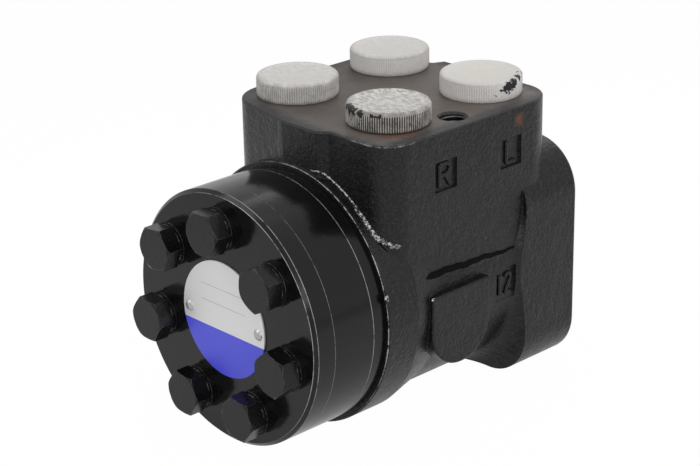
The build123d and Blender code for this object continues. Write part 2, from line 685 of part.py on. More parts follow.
with BuildPart() as name_plate:
    with BuildSketch(station(COVER_FACE_AT)):
        Circle(NAME_PLATE_RADIUS)
        with Locations((-PLATE_RIVET_SPACING / 2, 0), (PLATE_RIVET_SPACING / 2, 0)):
            Circle(PLATE_RIVET_PIN_RADIUS, mode=Mode.SUBTRACT)
    extrude(amount=NAME_PLATE_THICKNESS)

plate_rivets = []
for side in (-1, 1):
    rivet_plane = Plane(
        origin=(side * PLATE_RIVET_SPACING / 2, -COVER_FACE_AT - NAME_PLATE_THICKNESS, 0),
        x_dir=(1, 0, 0),
        z_dir=(0, 0, 1),
    )
    with BuildPart() as plate_rivet:
        with BuildSketch(rivet_plane):
            with BuildLine():
                dome = TangentArc((0, -PLATE_RIVET_HEAD_HEIGHT), (PLATE_RIVET_HEAD_RADIUS, 0), tangent=(1, 0))
                Polyline(
                    dome @ 1,
                    (PLATE_RIVET_PIN_RADIUS, 0),
                    (PLATE_RIVET_PIN_RADIUS, PLATE_RIVET_PIN_LENGTH),
                    (0, PLATE_RIVET_PIN_LENGTH),
                    dome @ 0,
                )
            make_face()
        revolve(axis=Axis(rivet_plane.origin, (0, 1, 0)))
    plate_rivets.append(plate_rivet)

# ---------------------------------------------------------------- spool set
with BuildPart() as sleeve:
    sleeve_length = INNER_SET_END - SLEEVE_AT
    revolve(ring_section(SLEEVE_INNER_RADIUS, SLEEVE_RADIUS, SLEEVE_AT, sleeve_length), axis=Axis.Y)
    # seat of the spring ring
    seat_start = SPRING_SLOT_AT - SPRING_RING_WIDTH / 2
    seat_section = ring_section(SPRING_RING_SEAT_RADIUS, BORE_RADIUS, seat_start, SPRING_RING_WIDTH)
    revolve(seat_section, axis=Axis.Y, mode=Mode.SUBTRACT)
    # slot of the centring springs, across the main axis along X
    with BuildSketch(Plane.YZ.offset(-BORE_RADIUS)):
        with Locations((-SPRING_SLOT_AT, 0)):
            Rectangle(SPRING_SLOT_LENGTH, SPRING_SLOT_WIDTH)
    extrude(amount=2 * BORE_RADIUS, mode=Mode.SUBTRACT)
    # cross pin hole, also along X
    with BuildSketch(Plane.YZ.offset(-BORE_RADIUS)):
        with Locations((-CROSS_PIN_AT, 0)):
            Circle(CROSS_PIN_RADIUS + RUNNING_GAP)
    extrude(amount=2 * BORE_RADIUS, mode=Mode.SUBTRACT)
    # rows of oil holes
    for row_at in SLEEVE_HOLE_ROWS:
        for turn in range(SLEEVE_HOLES // 2):
            hole_plane = Plane((0, -row_at, 0), z_dir=(0, 0, 1)).rotated((0, 360 * turn / SLEEVE_HOLES, 0))
            with BuildSketch(hole_plane):
                Circle(SLEEVE_HOLE_RADIUS)
            extrude(amount=BORE_RADIUS, both=True, mode=Mode.SUBTRACT)

with BuildPart() as spool:
    spool_corners = [
        (0, SPOOL_NOSE_AT),
        (SPOOL_NOSE_RADIUS, SPOOL_NOSE_AT),
        (SPOOL_NOSE_RADIUS, SLEEVE_AT),
        (SPOOL_RADIUS, SLEEVE_AT),
        (SPOOL_RADIUS, INNER_SET_END),
        (SPOOL_CAVITY_RADIUS, INNER_SET_END),
        (SPOOL_CAVITY_RADIUS, SPOOL_CAVITY_END),
        (0, SPOOL_CAVITY_END),
    ]
    revolve(turned(spool_corners), axis=Axis.Y)
    # column spline
    spline_slot_width = pi * SPLINE_PITCH_DIAMETER / SPLINE_TEETH / 2
    with BuildSketch(station(SPOOL_NOSE_AT)):
        add(
            spline_sketch(
                SPLINE_MINOR_DIAMETER / 2, SPLINE_MAJOR_DIAMETER / 2, spline_slot_width, SPLINE_TEETH
            )
        )
    extrude(amount=SPLINE_DEPTH, mode=Mode.SUBTRACT)
    with BuildSketch(Plane.YZ.offset(-BORE_RADIUS)):
        with Locations((-SPRING_SLOT_AT, 0)):
            Rectangle(SPRING_SLOT_LENGTH, SPRING_SLOT_WIDTH)
    extrude(amount=2 * BORE_RADIUS, mode=Mode.SUBTRACT)
    with BuildSketch(Plane.YZ.offset(-BORE_RADIUS)):
        with Locations((-CROSS_PIN_AT, 0)):
            Circle(CROSS_PIN_WINDOW_RADIUS)
    extrude(amount=2 * BORE_RADIUS, mode=Mode.SUBTRACT)
    # lengthways oil grooves
    with BuildSketch(station(SPOOL_GROOVE_AT)):
        with PolarLocations(SPOOL_RADIUS, SPOOL_GROOVES, start_angle=30):
            Rectangle(2 * SPOOL_GROOVE_DEPTH, SPOOL_GROOVE_WIDTH)
    extrude(amount=SPOOL_GROOVE_LENGTH, mode=Mode.SUBTRACT)

with BuildPart() as cross_pin:
    pin_length = 2 * (sqrt(SLEEVE_RADIUS**2 - CROSS_PIN_RADIUS**2) - CROSS_PIN_END_GAP)
    with BuildSketch(Plane.YZ.offset(-pin_length / 2)):
        with Locations((-CROSS_PIN_AT, 0)):
            Circle(CROSS_PIN_RADIUS)
    extrude(amount=pin_length)

with BuildPart() as spring_ring:
    ring_start = SPRING_SLOT_AT - SPRING_RING_WIDTH / 2 + RUNNING_GAP
    ring_inner = SPRING_RING_SEAT_RADIUS + RUNNING_GAP
    revolve(
        ring_section(ring_inner, SLEEVE_RADIUS, ring_start, SPRING_RING_WIDTH - 2 * RUNNING_GAP), axis=Axis.Y
    )

with BuildPart() as centring_springs:
    half_length = SPRING_RING_SEAT_RADIUS - LOOSE_GAP
    half_width = SPRING_WIDTH / 2
    # two flat leaves, back to back
    with BuildSketch(station(SPRING_SLOT_AT - half_width)):
        for side in (-1, 1):
            with Locations((0, side * SPRING_LEAF_THICKNESS / 2)):
                Rectangle(2 * half_length, SPRING_LEAF_THICKNESS - RUNNING_GAP)
    extrude(amount=SPRING_WIDTH)
    # bowed leaves on both sides of them, nested in each other
    for side in (-1, 1):
        for pair in range(SPRING_PAIRS):
            inner = side * (SPRING_LEAF_THICKNESS * (pair + 1) + RUNNING_GAP)
            outer = inner + side * (SPRING_LEAF_THICKNESS - RUNNING_GAP)
            bow = side * SPRING_LEAF_BOW
            with BuildSketch(station(SPRING_SLOT_AT - half_width)):
                with BuildLine():
                    low = ThreePointArc((-half_length, inner + bow), (0, inner), (half_length, inner + bow))
                    high = ThreePointArc((half_length, outer + bow), (0, outer), (-half_length, outer + bow))
                    Line(low @ 1, high @ 0)
                    Line(high @ 1, low @ 0)
                make_face()
            extrude(amount=SPRING_WIDTH)

# ---------------------------------------------------------------- thrust bearing and shaft seals
with BuildPart() as rear_race:
    revolve(ring_section(RACE_INNER_RADIUS, RACE_OUTER_RADIUS, REAR_RACE_AT, RACE_THICKNESS), axis=Axis.Y)

with BuildPart() as front_race:
    revolve(ring_section(RACE_INNER_RADIUS, RACE_OUTER_RADIUS, FRONT_RACE_AT, RACE_THICKNESS), axis=Axis.Y)

needle_middle_at = NEEDLES_AT + NEEDLE_RADIUS
with BuildPart() as needles:
    for turn in range(NEEDLE_COUNT):
        angle = 360 * turn / NEEDLE_COUNT
        needle_plane = Plane((0, -needle_middle_at, 0), z_dir=(0, 0, 1)).rotated((0, angle, 0))
        needle_plane = needle_plane.offset(NEEDLE_CENTRE_RADIUS - NEEDLE_LENGTH / 2)
        with BuildSketch(needle_plane):
            Circle(NEEDLE_RADIUS - RUNNING_GAP / 2)
        extrude(amount=NEEDLE_LENGTH)

with BuildPart() as needle_cage:
    cage_section = ring_section(
        RACE_INNER_RADIUS + CAGE_RADIAL_MARGIN,
        RACE_OUTER_RADIUS - CAGE_RADIAL_MARGIN,
        needle_middle_at - CAGE_THICKNESS / 2,
        CAGE_THICKNESS,
    )
    revolve(cage_section, axis=Axis.Y)
    with BuildSketch(station(NEEDLES_AT)):
        with PolarLocations(NEEDLE_CENTRE_RADIUS, NEEDLE_COUNT, start_angle=90):
            Rectangle(NEEDLE_LENGTH + 2 * RUNNING_GAP, 2 * NEEDLE_RADIUS + 2 * RUNNING_GAP)
    extrude(amount=2 * NEEDLE_RADIUS, mode=Mode.SUBTRACT)

with BuildPart() as dust_seal:
    seal_inner = SPOOL_NOSE_RADIUS + RUNNING_GAP
    seal_outer = DUST_SEAL_RADIUS - RUNNING_GAP
    seal_face_at = PILOT_DEPTH + DUST_SEAL_LIP_HEIGHT + DUST_SEAL_FACE_STEP
    seal_corners = [
        (seal_inner, PILOT_DEPTH + DUST_SEAL_LIP_HEIGHT),
        (seal_inner + DUST_SEAL_LIP_WIDTH, PILOT_DEPTH + RUNNING_GAP),
        (seal_inner + DUST_SEAL_LIP_WIDTH + DUST_SEAL_LIP_FOOT, seal_face_at),
        (seal_outer - DUST_SEAL_RIM_WIDTH, seal_face_at),
        (seal_outer - DUST_SEAL_RIM_WIDTH, PILOT_DEPTH + DUST_SEAL_RIM_RECESS),
        (seal_outer, PILOT_DEPTH + DUST_SEAL_RIM_RECESS),
        (seal_outer, WEB_AT),
        (seal_inner + DUST_SEAL_LIP_WIDTH, WEB_AT),
    ]
    revolve(turned(seal_corners), axis=Axis.Y)

with BuildPart() as shaft_seal:
    seal_inner = SPOOL_NOSE_RADIUS + RUNNING_GAP
    seal_outer = SHAFT_SEAL_RADIUS - RUNNING_GAP
    seal_length = BORE_END - SHAFT_SEAL_AT - LOOSE_GAP
    revolve(ring_section(seal_inner, seal_outer, SHAFT_SEAL_AT, seal_length), axis=Axis.Y)

# ---------------------------------------------------------------- cardan shaft, made upright then tilted
with BuildPart() as cardan_upright:
    # the cross pin's centre is the origin, and +Z runs to the gear set
    spline_from = CARDAN_SPLINE_AT - CROSS_PIN_AT
    spline_to = CARDAN_END - CROSS_PIN_AT
    fork_end = CARDAN_FORK_LENGTH - CARDAN_FORK_TIP
    with BuildSketch(Plane.XZ):
        Polygon(
            (0, -CARDAN_FORK_TIP),
            (CARDAN_FORK_RADIUS - CARDAN_TIP_CHAMFER, -CARDAN_FORK_TIP),
            (CARDAN_FORK_RADIUS, CARDAN_TIP_CHAMFER - CARDAN_FORK_TIP),
            (CARDAN_FORK_RADIUS, fork_end),
            (CARDAN_NECK_RADIUS, fork_end + CARDAN_SHOULDER_LENGTH),
            (CARDAN_NECK_RADIUS, spline_to),
            (0, spline_to),
            align=None,
        )
    revolve(axis=Axis.Z)
    with BuildSketch(Plane.XY.offset(spline_from)):
        add(
            spline_sketch(
                ROTOR_SPLINE_MAJOR_RADIUS - CARDAN_SPLINE_GAP - CARDAN_TOOTH_HEIGHT,
                ROTOR_SPLINE_MAJOR_RADIUS - CARDAN_SPLINE_GAP,
                ROTOR_SPLINE_SLOT_WIDTH - 2 * CARDAN_SPLINE_GAP,
                CARDAN_SPLINE_TEETH,
            )
        )
    extrude(amount=spline_to - spline_from)
    # pin slot, open at the tip, across the shaft along X
    with BuildSketch(Plane.YZ.offset(-CARDAN_FORK_RADIUS)):
        with Locations((0, -CARDAN_FORK_TIP / 2 + CARDAN_SLOT_DEPTH / 2)):
            Rectangle(2 * (CROSS_PIN_RADIUS + CARDAN_PIN_GAP), CARDAN_FORK_TIP + CARDAN_SLOT_DEPTH)
    extrude(amount=2 * CARDAN_FORK_RADIUS, mode=Mode.SUBTRACT)

with BuildPart() as cardan_shaft:
    add(cardan_upright.part.rotate(Axis.X, 90 - CARDAN_TILT).translate((0, -CROSS_PIN_AT, 0)))

# ---------------------------------------------------------------- static face seals
seal_places = {
    "housing_seal": HOUSING_LENGTH - SEAL_GROOVE_DEPTH,
    "ring_seal": RING_AT,
    "cover_seal": COVER_AT - SEAL_GROOVE_DEPTH,
}
face_seals = {}
for seal_name, seal_at in seal_places.items():
    with BuildPart() as face_seal:
        seal_section = ring_section(
            SEAL_CENTRE_RADIUS - SEAL_WIDTH / 2,
            SEAL_CENTRE_RADIUS + SEAL_WIDTH / 2,
            seal_at,
            SEAL_GROOVE_DEPTH,
        )
        revolve(seal_section, axis=Axis.Y)
    face_seals[seal_name] = face_seal

# ---------------------------------------------------------------- inlet check valve
check_angle = radians(BETWEEN_SCREWS)
check_x = CHECK_CIRCLE_RADIUS * cos(check_angle)
check_z = CHECK_CIRCLE_RADIUS * sin(check_angle)
with BuildPart() as check_seat:
    with BuildSketch(station(CHECK_SEAT_END)):
        with Locations((check_x, check_z)):
            Circle(CHECK_SEAT_BORE_RADIUS - RUNNING_GAP)
            Circle(CHECK_SEAT_HOLE_RADIUS, mode=Mode.SUBTRACT)
    extrude(amount=CHECK_SEAT_LENGTH)

with BuildPart() as check_ball:
    with Locations((check_x, -CHECK_SEAT_END + CHECK_BALL_DROP, check_z)):
        Sphere(CHECK_BALL_RADIUS)

# ---------------------------------------------------------------- port caps
cap_places = {
    "cap_pressure": (-PORT_ACROSS, -FRONT_PORTS_AT),
    "cap_tank": (-PORT_ACROSS, -REAR_PORTS_AT),
    "cap_right_turn": (PORT_ACROSS, -FRONT_PORTS_AT),
    "cap_left_turn": (PORT_ACROSS, -REAR_PORTS_AT),
}
caps = {}
for cap_name, cap_place in cap_places.items():
    cap_plane = Plane((*cap_place, PORT_FACE_HEIGHT), x_dir=(1, 0, 0), z_dir=(0, -1, 0))
    shank_radius = PORT_BORE_RADIUS - CAP_SHANK_GAP
    with BuildPart() as cap:
        with BuildSketch(cap_plane):
            with BuildLine():
                Polyline(
                    (0, CAP_HEIGHT - CAP_DISH_DEPTH),
                    (CAP_DISH_RADIUS, CAP_HEIGHT - CAP_DISH_DEPTH),
                    (CAP_RADIUS - CAP_RIM_WIDTH, CAP_HEIGHT - CAP_RIM_STEP),
                    (CAP_RADIUS - CAP_RIM_WIDTH + CAP_RIM_STEP, CAP_HEIGHT),
                    (CAP_RADIUS - CAP_EDGE_CHAMFER, CAP_HEIGHT),
                    (CAP_RADIUS, CAP_HEIGHT - CAP_EDGE_CHAMFER),
                    (CAP_RADIUS, 0),
                    (shank_radius, 0),
                    (shank_radius, -CAP_SHANK_LENGTH),
                    (shank_radius - CAP_WALL, -CAP_SHANK_LENGTH),
                    (shank_radius - CAP_WALL, CAP_HEIGHT - CAP_DISH_DEPTH - CAP_WALL),
                    (0, CAP_HEIGHT - CAP_DISH_DEPTH - CAP_WALL),
                    close=True,
                )
            make_face()
        revolve(axis=Axis((*cap_place, 0), (0, 0, 1)))
    caps[cap_name] = cap

# ---------------------------------------------------------------- labels and files
finished = {
    "housing": housing,
    "distributor_plate": distributor_plate,
    "stator_ring": stator_ring,
    "rotor": rotor,
    "spacer": spacer,
    "end_cover": end_cover,
    "name_plate": name_plate,
    "sleeve": sleeve,
    "spool": spool,
    "cross_pin": cross_pin,
    "spring_ring": spring_ring,
    "centring_springs": centring_springs,
    "rear_race": rear_race,
    "front_race": front_race,
    "needle_cage": needle_cage,
    "needles": needles,
    "dust_seal": dust_seal,
    "shaft_seal": shaft_seal,
    "cardan_shaft": cardan_shaft,
    "check_seat": check_seat,
    "check_ball": check_ball,
    **face_seals,
    **caps,
}
for number, screw in enumerate(screws, start=1):
    finished[f"cover_screw_{number}"] = screw
for number, washer in enumerate(washers, start=1):
    finished[f"washer_{number}"] = washer
for number, plate_rivet in enumerate(plate_rivets, start=1):
    finished[f"plate_rivet_{number}"] = plate_rivet

os.makedirs("parts", exist_ok=True)
for label, piece in finished.items():
    piece.part.label = label
    export_step(piece.part, f"parts/{label}.step")
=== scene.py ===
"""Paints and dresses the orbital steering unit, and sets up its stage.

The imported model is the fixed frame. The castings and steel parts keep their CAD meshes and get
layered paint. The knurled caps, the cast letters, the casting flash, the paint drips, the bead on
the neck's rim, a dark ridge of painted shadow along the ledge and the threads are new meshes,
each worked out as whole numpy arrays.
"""

from typing import NamedTuple

import bpy
import numpy as np
from mathutils import Matrix, Vector


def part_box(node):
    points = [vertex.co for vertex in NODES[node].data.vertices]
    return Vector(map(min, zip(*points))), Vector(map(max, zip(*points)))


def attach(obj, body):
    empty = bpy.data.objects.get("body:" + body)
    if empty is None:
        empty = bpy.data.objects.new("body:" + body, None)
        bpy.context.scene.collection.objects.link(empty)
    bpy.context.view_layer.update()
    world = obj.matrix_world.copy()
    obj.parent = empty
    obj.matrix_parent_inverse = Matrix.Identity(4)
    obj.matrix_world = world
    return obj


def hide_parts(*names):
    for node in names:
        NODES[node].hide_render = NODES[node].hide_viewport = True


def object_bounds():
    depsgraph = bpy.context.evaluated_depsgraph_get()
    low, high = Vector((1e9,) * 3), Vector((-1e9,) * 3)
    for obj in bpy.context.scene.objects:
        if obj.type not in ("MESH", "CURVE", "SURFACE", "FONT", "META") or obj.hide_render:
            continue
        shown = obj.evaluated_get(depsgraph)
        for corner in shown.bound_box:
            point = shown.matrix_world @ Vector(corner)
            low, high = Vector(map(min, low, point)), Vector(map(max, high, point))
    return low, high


bl_info = {
    "name": "Steering Unit Dresser",
    "version": (1, 0, 0),
    "blender": (4, 5, 0),
    "location": "View3D > Sidebar > Steering Unit",
    "description": "Paints and details a hydraulic steering unit and lights it for a product view",
    "category": "Object",
}

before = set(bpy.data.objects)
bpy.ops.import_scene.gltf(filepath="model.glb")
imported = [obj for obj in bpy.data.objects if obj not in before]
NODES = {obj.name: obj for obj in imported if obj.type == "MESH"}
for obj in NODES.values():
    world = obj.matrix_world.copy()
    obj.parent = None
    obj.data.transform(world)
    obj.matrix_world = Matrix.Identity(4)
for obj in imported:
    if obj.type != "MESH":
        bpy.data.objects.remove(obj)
CAD_BOX = [list(corner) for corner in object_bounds()]
BODY = "body"
MM = 0.001

# every length from here to the stage is in millimetres, in the frame of the CAD
CAP_NAMES = ("cap_pressure", "cap_tank", "cap_right_turn", "cap_left_turn")
CAP_HEIGHT = 6.9
CAP_RADIUS = 13.5
PORT_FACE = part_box("cap_pressure")[1].z / MM - CAP_HEIGHT

# the casting: its port block, the slant and the step of the block's front, its neck and holes
BLOCK_FRONT = 89.4
BLOCK_RIGHT = 40.2
BLOCK_LEFT = -36.7
BLOCK_REAR = -8.2
CORNER_RADIUS = 9.5
SLANT_FRONT = 90.5
SLANT_END = 4.0
STEP_START = 11.6
STEP_WIDTH = 3.2
STEP_DEPTH = 2.8
NECK_RADIUS = 44.0
NECK_RIM_RADIUS = 43.5
HOUSING_END = 90.0
BRACKET_HOLES = {"thread_right": (32.0, -49.6), "thread_left": (-28.0, -49.6)}
THREAD_RADIUS = 4.28
THREAD_PITCH = 1.5
THREAD_CREST = 0.42
THREAD_LENGTH = 13.0
THREAD_CHAMFER = 1.1
LETTER_STROKE = 0.72
LETTER_PROUD = 0.05

# stations of the stack's seams and cover edges along the main axis, and the cover's flat's radius
RING_START = 95.2
COVER_START = 111.4
COVER_EDGE = 118.2
COVER_BEVEL = 119.2
COVER_FLAT = 41.1

# small marks: rust, mould parting, drips, ledge, flash and the plate's lines, and painted light:
# painted highlights on the lip and drips, a painted shadow at one cap's foot and along the ledge
RUST_SPOT = (40.2, -27.2, 52.7)
# the painted shadow at one cap's foot: its middle, the cap's centre and the radius of the band
CAP_SHADOW_SPOT = (33.5, -75.2, PORT_FACE)
CAP_SHADOW_CENTRE = (21.1, -67.0)
CAP_SHADOW_RIM = 14.7
LIP_CORNER = (35.2, -84.8, PORT_FACE)
PARTING_X = -6.4
PARTING_FOOT = 44.5
PARTING_REAR = -80.0
NECK_DRIP = (42.9, -90.2, 10.6)
NECK_GLINT = (43.3, -90.5, 11.2)
BOSS_DRIP = (43.7, -70.3, 4.5)
BOSS_GLINT = (44.0, -70.6, 5.0)
LEDGE = (
    (39.6, -79.5, 11.0),
    (39.8, -64.7, 10.9),
    (39.9, -54.6, 10.4),
    (39.8, -40.5, 9.7),
    (39.6, -27.0, 9.0),
    (39.0, -22.0, 11.0),
)
FLASH_RADIUS = 46.6
FLASH_SHIFT = 1.9
FLASH_SINK = 1.7
FLASH_DIP = 1.9
FLASH_RISE = 3.4
PLATE_CHORD = -4.1
PLATE_LINES = (4.5, 10.0)
PLATE_LINE_HALF = 10.5

# each letter's window (its floor's x, its station and its height) and its strokes' corners
LETTERS = {
    "letter_right": (
        (39.3, 61.1, 42.8),
        (
            ((-2.5, -3.7), (-2.5, 3.8)),
            ((-2.5, 3.8), (0.8, 3.8), (2.2, 3.0), (2.4, 1.9), (1.7, 0.6), (0.3, 0.1), (-2.5, 0.1)),
            ((0.0, 0.1), (2.6, -3.7)),
        ),
    ),
    "letter_left": ((39.3, 31.1, 42.8), (((-1.7, 3.8), (-1.7, -3.5), (2.4, -3.5)),)),
    "cast_number": (
        (40.1, 33.6, -2.2),
        (
            ((-2.6, -3.4), (-2.6, 3.4)),
            ((0.0, 2.3), (0.8, 3.3), (2.0, 3.4), (2.8, 2.4), (2.5, 0.9), (0.0, -3.3), (3.0, -3.3)),
        ),
    ),
}


class Dirt(NamedTuple):
    """Shares of grime in a cap's valleys, on its ridges and on its top, and its dish's tint.

    A smear of paint has its place from the cap's foot, its spread, and the cut of its edge.
    """

    valley: float
    ridge: float
    top: float
    dish: tuple = (0.6, 0.6, 0.58)
    dish_share: float = 0.3
    smears: tuple = ()


CAP_DIRT = {
    "cap_pressure": Dirt(0.36, 0.24, 0.45),
    "cap_tank": Dirt(0.10, 0.02, 0.3),
    "cap_right_turn": Dirt(1.05, 0.45, 1.5, smears=(
        ((-6.8, -11.2, 6.3), 2.1, 0.29), ((-4.5, -12.4, 6.2), 2.3, 0.26),
        ((-2.0, -13.1, 6.1), 2.3, 0.26), ((0.8, -13.3, 6.0), 1.9, 0.30),
        ((5.2, -12.3, 5.9), 1.6, 0.32), ((7.5, -11.1, 6.0), 1.2, 0.35),
    )),
    "cap_left_turn": Dirt(0.14, 0.03, 0.12, (0.66, 0.65, 0.55), 0.5, (
        ((10.0, 8.5, 6.4), 1.8, 0.34), ((12.4, 4.8, 6.2), 2.2, 0.30),
        ((13.4, 1.8, 5.2), 2.4, 0.26), ((13.4, -1.5, 4.6), 2.6, 0.25),
        ((12.8, -4.0, 3.6), 1.6, 0.33), ((12.0, -6.0, 2.4), 1.0, 0.36),
    )),
}

# the stage: lamps by place and size in metres and share of the key's power, and the camera
LAMPS = {
    "key": ((-0.55, -0.75, 0.62), (0.6, 0.6), 0.74),
    "fill": ((0.75, -0.70, 0.45), (0.6, 0.6), 1.15),
    "side": ((0.85, 0.05, 0.45), (0.4, 0.6), 0.62),
    "top": ((0.05, 0.10, 0.95), (0.7, 0.7), 0.46),
    "back": ((-0.35, 0.80, 0.62), (0.6, 0.5), 0.3),
}
LAMP_TARGET = (0.0, -0.055, 0.01)
FLOOR_HALF = 6000.0 * MM
FLOOR_CORNERS = ((-1, -1), (1, -1), (1, 1), (-1, 1))
FLOOR_GAP = 0.02 * MM
EYE = (0.43932, -0.47823, 0.25494)
AIM = (-0.01417, -0.05264, 0.00514)
AZIMUTH, ELEVATION, ROLL = 46.82, 21.88, -1.14
SHIFT = (0.0039, 0.0030)


def metres(point):
    """A point in metres, from millimetres."""
    return tuple(length * MM for length in point)


# ------------------------------------------------------------------ surfaces
def mesh_piece(name, points, triangles, quads, finish, smooth=True):
    """A piece from its points in millimetres and its faces, with one finish."""
    mesh = bpy.data.meshes.new(name)
    faces = [*map(tuple, triangles.tolist()), *map(tuple, quads.tolist())]
    mesh.from_pydata(np.asarray(points, float) * MM, [], faces)
    mesh.polygons.foreach_set("use_smooth", np.full(len(faces), smooth))
    mesh.materials.append(finish.material)
    piece = bpy.data.objects.new(name, mesh)
    bpy.context.scene.collection.objects.link(piece)
    return piece


def round_surface(grid):
    """Faces of a surface whose rows run along it and whose columns close round.

    Point (i, j) joins (i, j+1), (i+1, j+1) and (i+1, j), with j taken round the columns. Each end
    row closes on a pole at its mean point, so the surface has no border.
    """
    rows, columns = grid.shape[:2]
    points = np.vstack([grid.reshape(-1, 3), grid[0].mean(0), grid[-1].mean(0)])
    i, j = np.meshgrid(np.arange(rows - 1), np.arange(columns), indexing="ij")
    after = (j + 1) % columns
    quads = np.stack(
        [i * columns + j, i * columns + after, (i + 1) * columns + after, (i + 1) * columns + j], -1
    ).reshape(-1, 4)
    around = np.arange(columns)
    onward = (around + 1) % columns
    first_pole = np.full(columns, rows * columns)
    last = (rows - 1) * columns
    triangles = np.vstack([
        np.stack([first_pole, onward, around], -1),
        np.stack([first_pole + 1, last + around, last + onward], -1),
    ])
    return points, triangles, quads


def tube(path, radius, columns, up=(0.0, 0.0, 1.0), power=1.0):
    """A bar along a path: point = path + radius (side [cos a] + lift [sin a]).

    The side is the path's direction crossed with up, and the lift is the direction crossed with
    the side. [v] is v's size to the power, with its sign, so a power below 1 makes the round bar
    squarer. The radius may change along the path and round it.
    """
    ahead = np.gradient(path, axis=0)
    ahead /= np.linalg.norm(ahead, axis=1, keepdims=True)
    side = np.cross(ahead, np.asarray(up, float))
    side /= np.linalg.norm(side, axis=1, keepdims=True)
    lift = np.cross(ahead, side)
    angle = np.linspace(0, 2 * np.pi, columns, endpoint=False)
    radius = np.broadcast_to(np.asarray(radius, float), (len(path), columns))
    across, rise = (np.sign(v) * np.abs(v) ** power for v in (np.cos(angle), np.sin(angle)))
    reach = side[:, None] * across[None, :, None]
    reach = reach + lift[:, None] * rise[None, :, None]
    return path[:, None] + reach * radius[..., None]


def smoothed(corners, count):
    """Points along a chain of corners, even in length, with the corners a little rounded."""
    corners = np.asarray(corners, float)
    steps = np.linalg.norm(np.diff(corners, axis=0), axis=1)
    along = np.concatenate([[0], np.cumsum(steps)])
    even = np.linspace(0, along[-1], count)
    line = np.stack([np.interp(even, along, corners[:, k]) for k in range(3)], -1)
    for _ in range(2):
        line[1:-1] = (line[:-2] + 2 * line[1:-1] + line[2:]) / 4
    return line


# ------------------------------------------------------------------ shader maths
class Value:
    """A socket of a graph, on which sums are written as plain Python."""

    def __init__(self, graph, socket):
        self.graph = graph
        self.socket = socket

    def maths(self, operation, *values, clamp=False):
        settings = {"operation": operation, "use_clamp": clamp}
        return self.graph.node("ShaderNodeMath", settings, dict(enumerate(values)))

    def __add__(self, other):
        return self.maths("ADD", self, other)

    def __sub__(self, other):
        return self.maths("SUBTRACT", self, other)

    def __mul__(self, other):
        return self.maths("MULTIPLY", self, other)

    def __truediv__(self, other):
        return self.maths("DIVIDE", self, other)

    def __rsub__(self, other):
        return self.maths("SUBTRACT", other, self)

    __radd__ = __add__
    __rmul__ = __mul__

    def size(self):
        return self.maths("ABSOLUTE", self)

    def above(self, edge, softness):
        """0 below the edge and 1 above it, with a soft step between."""
        return self.maths("ADD", (self - edge) / softness, 0.5, clamp=True)

    def near(self, centre, half_width, softness):
        """1 where the value is within the half width of the centre, falling softly to 0."""
        return 1 - (self - centre).size().above(half_width, softness)

    def power(self, exponent):
        return self.maths("POWER", self, exponent)

    def larger(self, other):
        return self.maths("MAXIMUM", self, other)

    def smaller(self, other):
        return self.maths("MINIMUM", self, other)

    def clamped(self):
        return self.maths("ADD", self, 0.0, clamp=True)


class Graph:
    """A node tree that is emptied and written as sums of values, up to its output's surface."""

    def __init__(self, tree, output_kind):
        self.tree = tree
        tree.nodes.clear()
        self.surface = tree.nodes.new(output_kind).inputs["Surface"]

    def node(self, kind, settings=None, inputs=None, output=0):
        """Any node: its settings first, then the values or links of its sockets."""
        made = self.tree.nodes.new(kind)
        for key, value in (settings or {}).items():
            setattr(made, key, value)
        for key, value in (inputs or {}).items():
            self.feed(made.inputs[key], value)
        return Value(self, made.outputs[output])

    def feed(self, socket, value):
        if isinstance(value, Value):
            self.tree.links.new(value.socket, socket)
        else:
            socket.default_value = value


